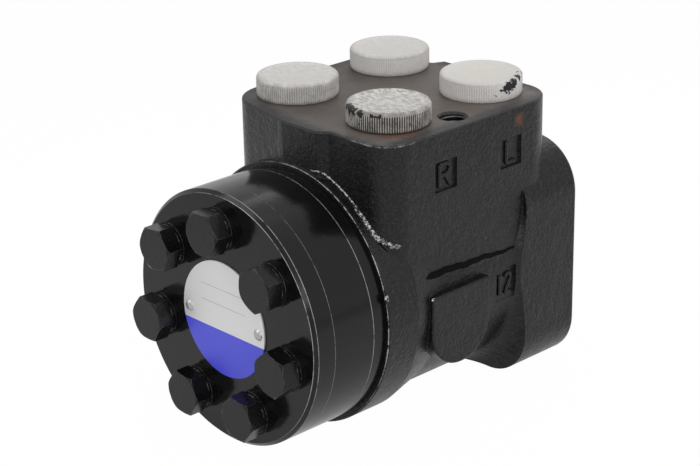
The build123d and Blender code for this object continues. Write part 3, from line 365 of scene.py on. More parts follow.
class Finish(Graph):
    """A material under construction, with a Principled shader at its end."""

    def __init__(self, name, **shader):
        self.material = bpy.data.materials.new(name)
        self.material.use_nodes = True
        super().__init__(self.material.node_tree, "ShaderNodeOutputMaterial")
        self.shader = self.tree.nodes.new("ShaderNodeBsdfPrincipled")
        self.feed(self.surface, Value(self, self.shader.outputs[0]))
        self.set(**shader)
        self.place = self.node("ShaderNodeTexCoord", output="Object")
        self.x, self.y, self.z = (
            self.node("ShaderNodeSeparateXYZ", {}, {0: self.place}, output=k) for k in range(3)
        )

    def set(self, **sockets):
        """Feeds the shader's sockets, named in lower case with underscores."""
        for name, value in sockets.items():
            title = name.replace("_", " ").title()
            title = {"Specular Level": "Specular IOR Level"}.get(title, title)
            if isinstance(value, tuple):
                value = (*value, 1.0)
            self.feed(self.shader.inputs[title], value)

    def noise(self, scale, detail=2.0, roughness=0.5, stretch=(1, 1, 1), seed=0.0):
        """Noise of about 0 to 1; the scale is in cycles per metre."""
        place = self.place
        if stretch != (1, 1, 1) or seed:
            inputs = {"Vector": place, "Scale": stretch, "Location": (seed, seed, 0)}
            place = self.node("ShaderNodeMapping", {"vector_type": "POINT"}, inputs)
        inputs = {"Vector": place, "Scale": scale, "Detail": detail, "Roughness": roughness}
        return self.node("ShaderNodeTexNoise", {"noise_dimensions": "3D"}, inputs)

    def mix(self, share, first, second):
        """The first colour where the share is 0 and the second where it is 1."""
        made = self.tree.nodes.new("ShaderNodeMix")
        made.data_type = "RGBA"
        for key, value in ((0, share), (6, first), (7, second)):
            if isinstance(value, tuple) and len(value) == 3:
                value = (*value, 1.0)
            self.feed(made.inputs[key], value)
        return Value(self, made.outputs[2])

    def bump(self, height, distance, strength=1.0, normal=None):
        """Relief of a height of 0 to 1 over a distance in metres."""
        inputs = {"Height": height, "Distance": distance, "Strength": strength}
        if normal is not None:
            inputs["Normal"] = normal
        return self.node("ShaderNodeBump", {}, inputs)

    def distance(self, point):
        """The distance from a point, in metres."""
        settings = {"operation": "DISTANCE"}
        inputs = {0: self.place, 1: point}
        return self.node("ShaderNodeVectorMath", settings, inputs, output="Value")

    def rounded(self, radius):
        """The surface's normal with its sharp edges rounded by a radius in metres."""
        return self.node("ShaderNodeBevel", {"samples": 4}, {"Radius": radius})

    def edges(self, rounded, turn, softness):
        """1 where the rounding turns the normal by more than a share, and 0 on open faces."""
        flat = self.node("ShaderNodeNewGeometry", output="Normal")
        settings = {"operation": "DOT_PRODUCT"}
        kept = self.node("ShaderNodeVectorMath", settings, {0: rounded, 1: flat}, output="Value")
        return (1 - kept).above(turn, softness)

    def radius_about(self, first, second, centre=(0.0, 0.0)):
        """The distance from a line through the centre, along the third axis."""
        return ((first - centre[0]).power(2.0) + (second - centre[1]).power(2.0)).power(0.5)


# ------------------------------------------------------------------ settings
def colour_setting(name, description, default):
    return bpy.props.FloatVectorProperty(
        name=name, description=description, default=default, size=3, subtype="COLOR", min=0, max=1
    )


def length_setting(name, description, default):
    return bpy.props.FloatProperty(
        name=name, description=description, default=default, min=0, unit="LENGTH", precision=5
    )


class CastingSettings(bpy.types.PropertyGroup):
    """Paint and grain of the cast housing."""

    paint: colour_setting("Paint", "Colour of the gloss paint", (0.004, 0.004, 0.0045))
    bare: colour_setting("Port face", "Colour of the machined port face", (0.135, 0.115, 0.102))
    # the rust colour also paints the shadow at one cap's foot
    rust: colour_setting("Rust", "Colour of the rust spots", (0.16, 0.05, 0.025))
    grain: length_setting("Grain height", "Height of the sand grain under the paint", 0.00028)
    lump: length_setting("Lump height", "Height of the lumps left by the mould", 0.00030)
    swell: length_setting("Swell height", "Height of the broad waves of the casting", 0.0006)


class StackSettings(bpy.types.PropertyGroup):
    """Paint of the machined stack and its screws."""

    paint: colour_setting("Paint", "Colour of the gloss paint", (0.004, 0.004, 0.0045))
    # the lighter seam lines: worn steel, and painted highlight
    edge: colour_setting("Worn edge", "Colour of the steel at the worn edges", (0.42, 0.42, 0.42))
    peel: length_setting("Orange peel", "Height of the paint's ripple", 0.00001)


class CapSettings(bpy.types.PropertyGroup):
    """Knurled transport caps."""

    plastic: colour_setting("Plastic", "Colour of the clean plastic", (0.68, 0.66, 0.64))
    # the dirt colour also paints the shade at the foot of each cap's side
    dirt: colour_setting("Dirt", "Colour of the dirt in the knurl", (0.055, 0.045, 0.038))
    smear: colour_setting("Smear", "Colour of the paint on the rims", (0.02, 0.02, 0.022))
    ridges: bpy.props.IntProperty(
        name="Ridges", description="Ridges of the knurl round a cap", default=108, min=24, max=200
    )
    ridge_depth: length_setting("Ridge depth", "Depth of the knurl", 0.00032)


class PlateSettings(bpy.types.PropertyGroup):
    """Name plate in the middle of the end cover."""

    silver: colour_setting("Silver", "Colour of the bare plate", (0.74, 0.74, 0.74))
    blue: colour_setting("Blue", "Colour of the printed segment", (0.062, 0.068, 0.66))
    ink: colour_setting("Ink", "Colour of the ruled lines", (0.16, 0.16, 0.18))


class StageSettings(bpy.types.PropertyGroup):
    """Floor, lamps and camera."""

    floor: colour_setting("Floor", "Colour of the floor", (0.95, 0.95, 0.95))
    lens: bpy.props.FloatProperty(
        name="Lens", description="Focal length", default=101.7, min=1, unit="CAMERA"
    )
    key_power: bpy.props.FloatProperty(
        name="Key lamp", description="Power of the key lamp", default=3.0, min=0, unit="POWER"
    )


# ------------------------------------------------------------------ finishes
def painted(name, paint, gloss=0.16):
    return Finish(name, base_color=tuple(paint), roughness=gloss, specular_level=0.27)


def give(node_names, finish):
    """Puts the finish on every material slot of the CAD nodes."""
    for node_name in node_names:
        for place in NODES[node_name].material_slots:
            place.material = finish.material


def bare_iron(finish, settings):
    """The machined port face: stained iron, darker to the left, and paint crept in at its edges."""
    colour = tuple(settings.bare)
    stain = finish.noise(45.0, 3.0, 0.6).above(0.52, 0.25)
    bare = finish.mix(stain, colour, tuple(c * 0.7 for c in colour))
    speckle = finish.noise(1700.0, 2.0, 0.7).above(0.62, 0.1)
    bare = finish.mix(speckle * 0.35, bare, tuple(c * 1.6 for c in colour))
    inset = (BLOCK_RIGHT * MM - finish.x).smaller(finish.x - BLOCK_LEFT * MM)
    inset = inset.smaller(finish.y + BLOCK_FRONT * MM).smaller(BLOCK_REAR * MM - finish.y)
    slant = (finish.y + SLANT_FRONT * MM) * 0.98 + finish.x * 0.21
    inset = inset.smaller(slant + (finish.x - SLANT_END * MM).larger(0.0) * 2.0)
    blot = finish.noise(330.0, 3.0, 0.6) - 0.5
    crept = 1 - (inset + blot * 0.006).above(0.0042, 0.0036)
    bare = finish.mix(crept * 0.85, bare, (0.028, 0.029, 0.034))
    shade = (0.25 - finish.x * 18.0 + finish.noise(28.0, 2.0, 0.5) * 0.5).clamped()
    return finish.mix(shade * 0.45, bare, (0.03, 0.028, 0.025))


def rust_spot_and_cap_shadow(finish):
    """The share of the rust colour: a rust spot high on the flank.

    The same colour paints a shadow round the foot of one cap.
    """
    ragged = finish.noise(700.0, 3.0, 0.7)
    spot = 1 - finish.distance(metres(RUST_SPOT)).above(0.0017, 0.0022)
    # painted shadow in the rust colour: a band hugging the front-right foot of one cap
    about_cap = finish.radius_about(finish.x, finish.y, metres(CAP_SHADOW_CENTRE))
    foot = about_cap.near(CAP_SHADOW_RIM * MM, 0.0011, 0.0012)
    foot = foot * (1 - finish.distance(metres(CAP_SHADOW_SPOT)).above(0.0062, 0.003))
    return (spot * ragged.above(0.44, 0.2) * 0.8).larger(foot * ragged.above(0.42, 0.2) * 0.75)


def casting_paint(settings):
    """Gloss paint over sand-cast iron, with a bare port face and rust.

    It carries painted light too: a highlight on the lip, sheen among the dust in the grain, and a
    shadow at one cap's foot.
    """
    finish = painted("casting_paint", settings.paint)
    face = PORT_FACE * MM
    top = finish.z.above(face - 0.0002, 0.0003)
    machined = top.larger(finish.y.above(-0.0004, 0.0003))
    rough = 1 - machined
    waves = finish.noise(60.0, 2.0, 0.5)
    lumps = finish.noise(260.0, 2.0, 0.5)
    grain = finish.noise(780.0, 3.0, 0.62)
    pebble = finish.noise(1500.0, 2.0, 0.6)
    fine = finish.noise(2600.0, 2.0, 0.6)
    relief = finish.rounded(0.0005)
    for height, distance, strength in (
        (waves * rough, settings.swell, 0.7),
        (lumps * rough, settings.lump, 0.8),
        (grain * rough, settings.grain, 0.9),
        (pebble * rough, settings.grain * 0.35, 0.9),
        (fine * machined, 0.00001, 0.8),
    ):
        relief = finish.bump(height, distance, strength, relief)

    streak = finish.noise(420.0, 3.0, 0.7, stretch=(1, 1, 2.5))
    # painted highlight: a lighter band along the port face's lip, in bright streaks at its front
    # corner
    lip = finish.z.near(face - 0.0004, 0.00028, 0.00024)
    corner = 1 - finish.distance(metres(LIP_CORNER)).above(0.0105, 0.003)
    brightened = lip * (0.07 + 0.75 * corner * streak.above(0.50, 0.10))
    parting = finish.x.near(PARTING_X * MM, 0.00016, 0.00016)
    parting = parting * finish.z.above(PARTING_FOOT * MM, 0.002)
    parting = parting * (1 - finish.y.above(PARTING_REAR * MM, 0.002)) * streak.above(0.36, 0.2)
    # lighter flecks in the grain: dust, and painted sheen for the grain's highlights
    dust_and_sheen = (grain.above(0.58, 0.2) * 0.06 + pebble.above(0.6, 0.14) * 0.13) * rough
    rust_and_shadow = rust_spot_and_cap_shadow(finish)

    paint = finish.mix(dust_and_sheen, tuple(settings.paint), (0.115, 0.11, 0.105))
    paint = finish.mix(parting * 0.35 * rough, paint, (0.2, 0.2, 0.2))
    colour = finish.mix(top, paint, bare_iron(finish, settings))
    colour = finish.mix(brightened, colour, (0.30, 0.30, 0.32))
    colour = finish.mix(rust_and_shadow, colour, tuple(settings.rust))
    gloss = 0.15 + 0.16 * lumps + 0.12 * pebble * rough + top * 0.28 + rust_and_shadow * 0.3
    finish.set(base_color=colour, roughness=gloss, normal=relief)
    return finish


def flash_paint(settings):
    """Thick gloss paint on the flash and drips, with flecks of painted highlight."""
    paint = tuple(settings.paint)
    finish = Finish("flash_paint", base_color=paint, roughness=0.14, specular_level=0.6)
    specks = finish.noise(1900.0, 3.0, 0.6)
    glint_flecks = finish.noise(900.0, 3.0, 0.7).above(0.50, 0.12)
    # painted highlight: lighter flecks where the flash stands high and at a glint on each drip
    high = finish.z.above(0.024, 0.004)
    high = high.larger(finish.distance(metres(NECK_GLINT)).near(0.0, 0.0009, 0.0003))
    high = high.larger(finish.distance(metres(BOSS_GLINT)).near(0.0, 0.0012, 0.0004))
    colour = finish.mix(glint_flecks * high, paint, (0.62, 0.62, 0.6))
    relief = finish.bump(specks, 0.0002, 0.8)
    finish.set(base_color=colour, roughness=0.12 + 0.12 * specks, normal=relief)
    return finish


def rim_paint(settings):
    """Gloss paint on the neck's rim, with painted highlight towards the upper right."""
    paint = tuple(settings.paint)
    finish = Finish("rim_paint", base_color=paint, roughness=0.12, specular_level=0.6)
    lit = (finish.x * 15.0 + finish.z * 9.0).above(0.35, 0.4)
    # painted highlight: lighter flecks on the rim towards the upper right, where the light falls
    brightened = finish.noise(380.0, 3.0, 0.7).above(0.47, 0.1) * lit
    finish.set(base_color=finish.mix(brightened, paint, (0.32, 0.32, 0.32)))
    return finish


def ledge_shadow_paint():
    """Dull black paint for the ridge that stands as the ledge's painted shadow."""
    return Finish(
        "ledge_shadow_paint", base_color=(0.003, 0.003, 0.003), roughness=0.9, specular_level=0.1
    )


def stack_paint(settings):
    """Even gloss paint on turned steel, lighter along the seams between the discs.

    The lighter lines are worn steel and painted highlight, strongest towards the upper right.
    """
    finish = painted("stack_paint", settings.paint, 0.12)
    peel = finish.noise(420.0, 2.0, 0.5)
    fine = finish.noise(1800.0, 2.0, 0.5)
    soft = finish.rounded(0.00035)
    relief = finish.bump(peel, settings.peel * 6, 0.5, soft)
    relief = finish.bump(fine, settings.peel, 0.6, relief)
    wear = finish.noise(300.0, 3.0, 0.6)
    # painted highlight: the seam lines are strongest towards the upper right, where the light falls
    lit = (finish.x * 15.0 + finish.z * 9.0).above(0.30, 0.5)
    seam_wear_and_highlight = finish.y.near(-RING_START * MM, 0.00010, 0.00012)
    seam_wear_and_highlight = seam_wear_and_highlight.larger(finish.y.near(-COVER_START * MM, 0.00006, 0.00010) * 0.7)
    edge = finish.y.near(-COVER_EDGE * MM, 0.00007, 0.00010) * 0.8
    reach = finish.radius_about(finish.x, finish.z)
    front = reach.near(COVER_FLAT * MM, 0.00008, 0.00012)
    front = front * (1 - finish.y.above(-COVER_BEVEL * MM, 0.0002))
    seam_wear_and_highlight = seam_wear_and_highlight.larger(edge).larger(front) * wear.above(0.40, 0.2) * (0.12 + 0.88 * lit)
    speck = finish.noise(2300.0, 2.0, 0.7).above(0.72, 0.06) * 0.25
    paint = finish.mix(speck, tuple(settings.paint), (0.10, 0.10, 0.10))
    colour = finish.mix(seam_wear_and_highlight, paint, tuple(settings.edge))
    gloss = 0.11 + 0.08 * peel + seam_wear_and_highlight * 0.2
    finish.set(base_color=colour, roughness=gloss, metallic=seam_wear_and_highlight * 0.6, normal=relief)
    return finish


def screw_paint(settings):
    """Gloss paint, thicker and duller than the stack's, with flecks where a spanner bit."""
    finish = painted("screw_paint", settings.paint, 0.2)
    peel = finish.noise(700.0, 2.0, 0.5)
    fleck = finish.noise(1500.0, 3.0, 0.7).above(0.70, 0.06)
    soft = finish.rounded(0.00025)
    # lighter where the paint is worn at the edges
    brightened = finish.edges(soft, 0.10, 0.10) * finish.noise(600.0, 3.0, 0.6).above(0.5, 0.12)
    relief = finish.bump(peel, 0.00007, 0.7, soft)
    colour = finish.mix(fleck * 0.4, tuple(settings.paint), (0.12, 0.115, 0.11))
    colour = finish.mix(brightened * 0.55, colour, (0.26, 0.26, 0.26))
    finish.set(base_color=colour, roughness=0.18 + 0.16 * peel, normal=relief)
    return finish


def cap_plastic(settings, centre, dirt):
    """Matte white plastic with dirt in the knurl, scuffs on its top and smears of black paint.

    Its side darkens towards its foot: painted shade, where the cap meets the port face.
    """
    plastic = tuple(settings.plastic)
    finish = Finish("cap_plastic", base_color=plastic, roughness=0.5, specular_level=0.22)
    reach = finish.radius_about(finish.x, finish.y, centre)
    height = finish.z - PORT_FACE * MM
    side = reach.above(0.0129, 0.0003) * (1 - height.above(0.0058, 0.0006))
    top = (1 - side) * height.above(0.0054, 0.0006)
    depth = settings.ridge_depth
    valley = 1 - reach.above(CAP_RADIUS * MM - depth * 0.45, depth * 0.8)
    cloud = finish.noise(240.0, 3.0, 0.6, seed=centre[0] * 40)
    blotch = finish.noise(110.0, 2.0, 0.5, seed=centre[1] * 20)
    speck = finish.noise(1500.0, 3.0, 0.7, seed=centre[1] * 30)
    scrape = finish.noise(420.0, 4.0, 0.75, seed=centre[0] * 70, stretch=(1, 2.2, 1))
    mottle = finish.noise(900.0, 3.0, 0.6)

    grime_and_foot_shade = valley.power(0.8) * dirt.valley * (0.1 + 1.8 * blotch)
    grime_and_foot_shade = side * (grime_and_foot_shade + dirt.ridge * cloud.above(0.45, 0.4))
    grime_and_foot_shade = grime_and_foot_shade + side * speck.above(0.62, 0.1) * (0.15 + dirt.ridge)
    # painted shade: the side darkens towards its foot, where the cap meets the port face
    grime_and_foot_shade = grime_and_foot_shade + side * (1 - height.above(0.0007, 0.0012)) * 0.35
    scuffed = top * (scrape.above(0.52, 0.16) * 0.55 + speck.above(0.64, 0.1) * 0.45) * dirt.top
    rim = height.above(0.0058, 0.0006) * reach.above(0.0124, 0.0012) * cloud.above(0.42, 0.2)
    dish = top * (1 - reach.above(0.0078, 0.005))
    colour = finish.mix(grime_and_foot_shade.clamped(), plastic, tuple(settings.dirt))
    colour = finish.mix(scuffed.clamped(), colour, (0.28, 0.26, 0.24))
    colour = finish.mix(rim * (0.12 + dirt.top * 0.5), colour, (0.22, 0.21, 0.2))
    colour = finish.mix(dish * dirt.dish_share, colour, dirt.dish)
    edge = finish.noise(520.0, 3.0, 0.72, seed=0.3)
    for (x, y, z), size, cut in dirt.smears:
        place = (centre[0] + x * MM, centre[1] + y * MM, (PORT_FACE + z) * MM)
        spread = finish.distance(place) / (size * MM)
        smear = (edge - spread * 0.35).above(cut, 0.04) * reach.above(0.0112, 0.0006)
        colour = finish.mix(smear, colour, tuple(settings.smear))
    relief = finish.bump(mottle, 0.00012, 0.6)
    relief = finish.bump(cloud, 0.0005, 0.5, relief)
    relief = finish.bump(scrape * top, 0.00012, 0.6, relief)
    finish.set(base_color=colour, roughness=0.42 + 0.2 * mottle, normal=relief)
    return finish


def plate_print(settings):
    """Brushed aluminium plate with a plain blue segment and two thin ruled lines."""
    silver = tuple(settings.silver)
    finish = Finish("plate_aluminium", base_color=silver, roughness=0.35, metallic=0.35)
    brush = finish.noise(160.0, 3.0, 0.7, stretch=(1, 1, 16))
    blue = 1 - finish.z.above(PLATE_CHORD * MM, 0.0001)
    low, high = (finish.z.near(line * MM, 0.00012, 0.0001) for line in PLATE_LINES)
    lines = low.larger(high) * finish.x.near(0.0, PLATE_LINE_HALF * MM, 0.0002)
    colour = finish.mix(brush, tuple(c * 0.86 for c in silver), silver)
    colour = finish.mix(blue, colour, tuple(settings.blue))
    colour = finish.mix(lines * 0.5, colour, tuple(settings.ink))
    relief = finish.bump(brush, 0.000008, 0.4)
    finish.set(
        base_color=colour, metallic=(1 - blue) * 0.35, roughness=0.3 + 0.15 * brush, normal=relief
    )
    return finish


def plain_steel(name, shade, gloss):
    """Ground or turned steel with fine marks and a thin film of oil."""
    clean = (shade, shade, shade * 1.02)
    finish = Finish(name, base_color=clean, roughness=gloss, metallic=1.0)
    marks = finish.noise(900.0, 3.0, 0.6, stretch=(1, 6, 1))
    film = finish.noise(90.0, 2.0, 0.5)
    colour = finish.mix(film, clean, (shade * 0.8, shade * 0.78, shade * 0.74))
    relief = finish.bump(marks, 0.000008, 0.6)
    finish.set(base_color=colour, roughness=gloss + 0.12 * marks, normal=relief)
    return finish


def seal_rubber():
    """Nitrile rubber with a faint bloom."""
    finish = Finish("seal_rubber", base_color=(0.02, 0.02, 0.02), roughness=0.55)
    bloom = finish.noise(500.0, 3.0, 0.6)
    colour = finish.mix(bloom, (0.015, 0.015, 0.016), (0.035, 0.034, 0.032))
    relief = finish.bump(bloom, 0.00002, 0.6)
    finish.set(base_color=colour, roughness=0.5 + 0.2 * bloom, normal=relief)
    return finish


# ------------------------------------------------------------------ pieces
def knurled_cap(name, settings, centre, finish):
    """A cap turned from its profile, with ridges round its side.

    The profile gives radius r and height z. The point at angle a is (r cos a, r sin a, z), and
    where the side runs, r is less by depth times a rounded triangle wave of the ridge count.
    """
    neck = [(6.0, 4.4), (6.6, 3.9), (6.6, -10.6), (6.9, -11.0), (7.8, -11.0), (8.2, -10.5)]
    foot = [(8.2, -0.15), (8.35, 0.0), (12.9, 0.0), (13.15, 0.05), (13.38, 0.3), (13.4, 0.6)]
    side = [(CAP_RADIUS, height) for height in (0.75, 2.4, 4.1, 5.75)]
    rim = [(13.42, 6.1), (13.3, 6.4), (13.05, 6.68), (12.7, 6.85), (12.3, CAP_HEIGHT)]
    lip = [(11.85, 6.86), (11.55, 6.74), (11.3, 6.6), (10.9, 6.52)]
    dish = [(9.5, 6.42), (7.5, 6.24), (5.6, 6.06), (4.6, 6.0), (2.0, 6.0), (0.4, 6.0)]
    profile = np.array([*neck, *foot, *side, *rim, *lip, *dish])
    ridged = np.clip(1.6 - np.abs(profile[:, 1] - 3.25) / 2.0, 0, 1)
    ridged = np.where(profile[:, 0] > 13.3, np.clip(ridged * 2.2, 0, 1), 0)
    angle = np.linspace(0, 2 * np.pi, settings.ridges * 4, endpoint=False)
    wave = np.abs(((angle * settings.ridges / (2 * np.pi)) % 1.0) - 0.5) * 2
    wave = np.clip(wave * 1.5 - 0.25, 0, 1)
    reach = profile[:, :1] - ridged[:, None] * wave[None] * settings.ridge_depth / MM
    grid = np.stack([
        centre[0] / MM + reach * np.cos(angle)[None],
        centre[1] / MM + reach * np.sin(angle)[None],
        np.repeat(profile[:, 1:] + PORT_FACE, len(angle), axis=1),
    ], -1)
    return mesh_piece(name, *round_surface(grid), finish)


def letter_strokes(name, strokes, window, finish):
    """A raised letter: squarish bars along its strokes, pressed half into the window's floor.

    The window is its floor's x, its station along the main axis and its height. A stroke's corner
    (u, v) stands at y = u - station and z = height + v on the floor's x.
    """
    floor, station, height = window
    points, triangles, quads = [], [], []
    for corners in strokes:
        path = smoothed([(floor + LETTER_PROUD, u - station, v + height) for u, v in corners], 26)
        radius = LETTER_STROKE + 0.07 * np.sin(np.arange(len(path)) * 1.7)[:, None]
        bar = round_surface(tube(path, radius, 16, up=(1.0, 0.0, 0.0), power=0.55))
        start = sum(map(len, points))
        points.append(bar[0])
        triangles.append(bar[1] + start)
        quads.append(bar[2] + start)
    return mesh_piece(name, *map(np.vstack, (points, triangles, quads)), finish)


def flash_path(first, last, lift):
    """The line where the block's front corner meets the round neck, bent at both ends.

    The parameter s runs along the block's outline: along the front, back over its step by the share
    of the step's depth, then round the corner. With t = s + shift share, the height is
    z = sqrt(flash radius squared - x(t) squared) + lift - sink share, less the dip before t = 14,
    plus the rise after t = 33, and never under the neck.
    """
    corner_x = BLOCK_RIGHT - CORNER_RADIUS

    def outline(along):
        turn = np.clip((along - corner_x) / CORNER_RADIUS, 0, np.pi / 2)
        round_x = corner_x + CORNER_RADIUS * np.sin(turn)
        return np.where(along < corner_x, along, round_x), CORNER_RADIUS * (1 - np.cos(turn))

    s = np.linspace(first, last, 420)
    share = np.clip((s - STEP_START) / STEP_WIDTH, 0, 1)
    x, inward = outline(s)
    y = -(BLOCK_FRONT - STEP_DEPTH * share - inward)
    t = s + FLASH_SHIFT * share
    z = np.sqrt(FLASH_RADIUS**2 - outline(t)[0] ** 2) + lift - FLASH_SINK * share
    z += FLASH_RISE * np.clip((t - 33) / 11, 0, 1) ** 1.4
    z -= FLASH_DIP * np.clip((14 - t) / 5, 0, 1)
    z = np.maximum(z, np.sqrt(NECK_RADIUS**2 - x**2) - 0.2)
    return s, np.stack([x, y, z], -1)


def flash_bead(name, first, last, thickness, seed, lift, finish):
    """Ragged casting flash: a bar along the flash path.

    Its radius is the thickness times a sum of sines in s and round the bar, less at both ends.
    """
    s, path = flash_path(first, last, lift)
    rng = np.random.default_rng(seed)
    angle = np.linspace(0, 2 * np.pi, 14, endpoint=False)
    shape = np.zeros((len(s), len(angle)))
    for wavelength, height in ((6.0, 0.20), (2.4, 0.22), (1.1, 0.24), (0.55, 0.24), (0.32, 0.14)):
        phase, lean = rng.uniform(0, 2 * np.pi, 2)
        shape += height * np.sin(
            2 * np.pi * s[:, None] / wavelength + phase + np.cos(angle[None] + lean) * 2.2
        )
    ends = np.clip((s - first) * 0.9, 0, 1) * np.clip((last - s) * 0.6, 0, 1)
    radius = thickness * (0.78 + 0.55 * shape) * (0.25 + 0.75 * ends[:, None])
    grid = tube(path, np.maximum(radius, 0.06), len(angle))
    return mesh_piece(name, *round_surface(grid), finish)


def drop(name, centre, radii, seed, finish):
    """A drip of paint: an egg whose radius swells by a few sines of its two angles.

    At polar angle p and angle a the point is the centre plus the radii times
    (sin p cos a, sin p sin a, -cos p), all times the swell.
    """
    polar = np.linspace(0.02, np.pi - 0.02, 26)[:, None]
    angle = np.linspace(0, 2 * np.pi, 36, endpoint=False)[None]
    swell = 1 + 0.10 * np.sin(3 * angle + seed) * np.sin(polar) + 0.08 * np.sin(5 * polar + seed)
    grid = np.stack([
        centre[0] + radii[0] * swell * np.sin(polar) * np.cos(angle),
        centre[1] + radii[1] * swell * np.sin(polar) * np.sin(angle),
        centre[2] - radii[2] * swell * np.cos(polar) * np.ones_like(angle),
    ], -1)
    return mesh_piece(name, *round_surface(grid), finish)


def ring_bead(name, station, radius, thickness, ripple, seed, finish):
    """A bead of paint on a rim: a thin bar round the main axis at one station.

    Point = ((radius + t cos b) cos a, -station + t sin b, (radius + t cos b) sin a), where t is
    the thickness with a slow ripple round the circle.
    """
    rows, columns = 10, 720
    b = np.linspace(0, 2 * np.pi, rows, endpoint=False)[:, None]
    a = np.linspace(0, 2 * np.pi, columns, endpoint=False)[None]
    t = thickness * (1 + ripple * (np.sin(11 * a + seed) + np.sin(29 * a + 2 * seed)) / 2)
    reach = radius + t * np.cos(b)
    grid = np.stack([reach * np.cos(a), -station + t * np.sin(b), reach * np.sin(a)], -1)
    i, j = np.meshgrid(np.arange(rows), np.arange(columns), indexing="ij")
    below, after = (i + 1) % rows, (j + 1) % columns
    quads = np.stack(
        [i * columns + j, i * columns + after, below * columns + after, below * columns + j], -1
    ).reshape(-1, 4)
    return mesh_piece(name, grid.reshape(-1, 3), np.zeros((0, 3), int), quads, finish)


def thread(name, centre, finish):
    """The crest of a tapped hole's thread: a bar along a helix under the hole's chamfer.

    At angle t its point is (R cos t, R sin t, top - pitch t / 2 pi), with the thread's radius R.
    """
    turns = THREAD_LENGTH / THREAD_PITCH
    angle = np.linspace(0, 2 * np.pi * turns, int(64 * turns))
    path = np.stack([
        centre[0] + THREAD_RADIUS * np.cos(angle),
        centre[1] + THREAD_RADIUS * np.sin(angle),
        PORT_FACE - THREAD_CHAMFER - THREAD_PITCH * angle / (2 * np.pi),
    ], -1)
    return mesh_piece(name, *round_surface(tube(path, THREAD_CREST, 8)), finish)


def ragged_ridge(name, corners, thickness, taper, roughness, seed, finish):
    """A ragged ridge along a chain of corners.

    Its radius is the thickness less the taper times the share of the way, and swells by the
    roughness times a sum of sines along it and round it.
    """
    path = smoothed(corners, 260)
    rng = np.random.default_rng(seed)
    along = np.linspace(0, 1, len(path))[:, None]
    angle = np.linspace(0, 2 * np.pi, 12, endpoint=False)[None]
    shape = 0.0
    for waves, height in ((9, 0.25), (31, 0.3), (67, 0.3), (113, 0.2)):
        phase, lean = rng.uniform(0, 2 * np.pi, 2)
        lean = 2 * np.cos(angle + lean)
        shape = shape + height * np.sin(waves * 2 * np.pi * along + phase + lean)
    path[:, 2] += 0.2 * np.sin(23 * along[:, 0]) + 0.1 * np.sin(61 * along[:, 0] + 1)
    ends = np.clip(np.minimum(along, 1 - along) * 12, 0.1, 1) ** 0.5
    radius = np.maximum((thickness - taper * along) * ends * (1 + roughness * shape), 0.05)
    return mesh_piece(name, *round_surface(tube(path, radius, 12)), finish)


def on_body(piece, body=BODY, replaced=()):
    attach(piece, body)
    if replaced:
        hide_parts(*replaced)
    return piece


# ------------------------------------------------------------------ operators
class STEERING_OT_paint_casting(bpy.types.Operator):
    """Paint the cast housing and add its flash, drips, ledge, rim and threads"""

    bl_idname = "steering.paint_casting"
    bl_label = "Paint Casting"

    def execute(self, context):
        settings = context.scene.steering_casting
        give(["housing"], casting_paint(settings))
        flash = flash_paint(settings)
        iron = plain_steel("thread_iron", 0.13, 0.35)
        for piece in (
            flash_bead("flash_upper", 8.8, 34.1, 0.36, 4, 0.2, flash),
            flash_bead("flash_lower", 25.1, 42.1, 1.05, 9, -0.9, flash),
            drop("drip_neck", NECK_DRIP, (0.8, 0.6, 1.5), 1, flash),
            drop("drip_boss", BOSS_DRIP, (0.3, 0.9, 0.5), 2, flash),
            # a dull black ridge along the ledge, standing as the step's painted shadow line
            ragged_ridge("ledge_shadow_ridge", LEDGE, 1.5, 0.8, 0.16, 5, ledge_shadow_paint()),
            ring_bead("neck_rim", HOUSING_END, NECK_RIM_RADIUS, 0.20, 0.4, 3, rim_paint(settings)),
            *(thread(name, centre, iron) for name, centre in BRACKET_HOLES.items()),
        ):
            on_body(piece)
        return {"FINISHED"}


class STEERING_OT_paint_stack(bpy.types.Operator):
    """Paint the distributor plate, gear ring, end cover, screws and washers"""

    bl_idname = "steering.paint_stack"
    bl_label = "Paint Stack"

    def execute(self, context):
        settings = context.scene.steering_stack
        give(["distributor_plate", "stator_ring", "end_cover"], stack_paint(settings))
        screws = screw_paint(settings)
        give([n for n in NODES if n.startswith(("cover_screw", "washer"))], screws)
        return {"FINISHED"}


class STEERING_OT_finish_inside(bpy.types.Operator):
    """Give the gear set, valve, bearing and seals their steel and rubber"""

    bl_idname = "steering.finish_inside"
    bl_label = "Finish Inside"

    def execute(self, context):
        give(["rotor", "spacer", "cardan_shaft"], plain_steel("gear_steel", 0.42, 0.28))
        give(["sleeve", "spool", "cross_pin", "check_seat"], plain_steel("inner_steel", 0.46, 0.22))
        give(["centring_springs", "spring_ring"], plain_steel("spring_steel", 0.3, 0.3))
        bearing = plain_steel("bearing_steel", 0.6, 0.14)
        give(["rear_race", "front_race", "needle_cage", "needles", "check_ball"], bearing)
        rubber = ["housing_seal", "ring_seal", "cover_seal", "dust_seal", "shaft_seal"]
        give(rubber, seal_rubber())
        return {"FINISHED"}


class STEERING_OT_knurl_caps(bpy.types.Operator):
    """Turn the four knurled port caps"""

    bl_idname = "steering.knurl_caps"
    bl_label = "Knurl Caps"

    def execute(self, context):
        settings = context.scene.steering_cap
        for cap_name in CAP_NAMES:
            low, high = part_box(cap_name)
            centre = ((low.x + high.x) / 2, (low.y + high.y) / 2)
            finish = cap_plastic(settings, centre, CAP_DIRT[cap_name])
            cap = knurled_cap("knurled_" + cap_name, settings, centre, finish)
            on_body(cap, cap_name, (cap_name,))
        return {"FINISHED"}


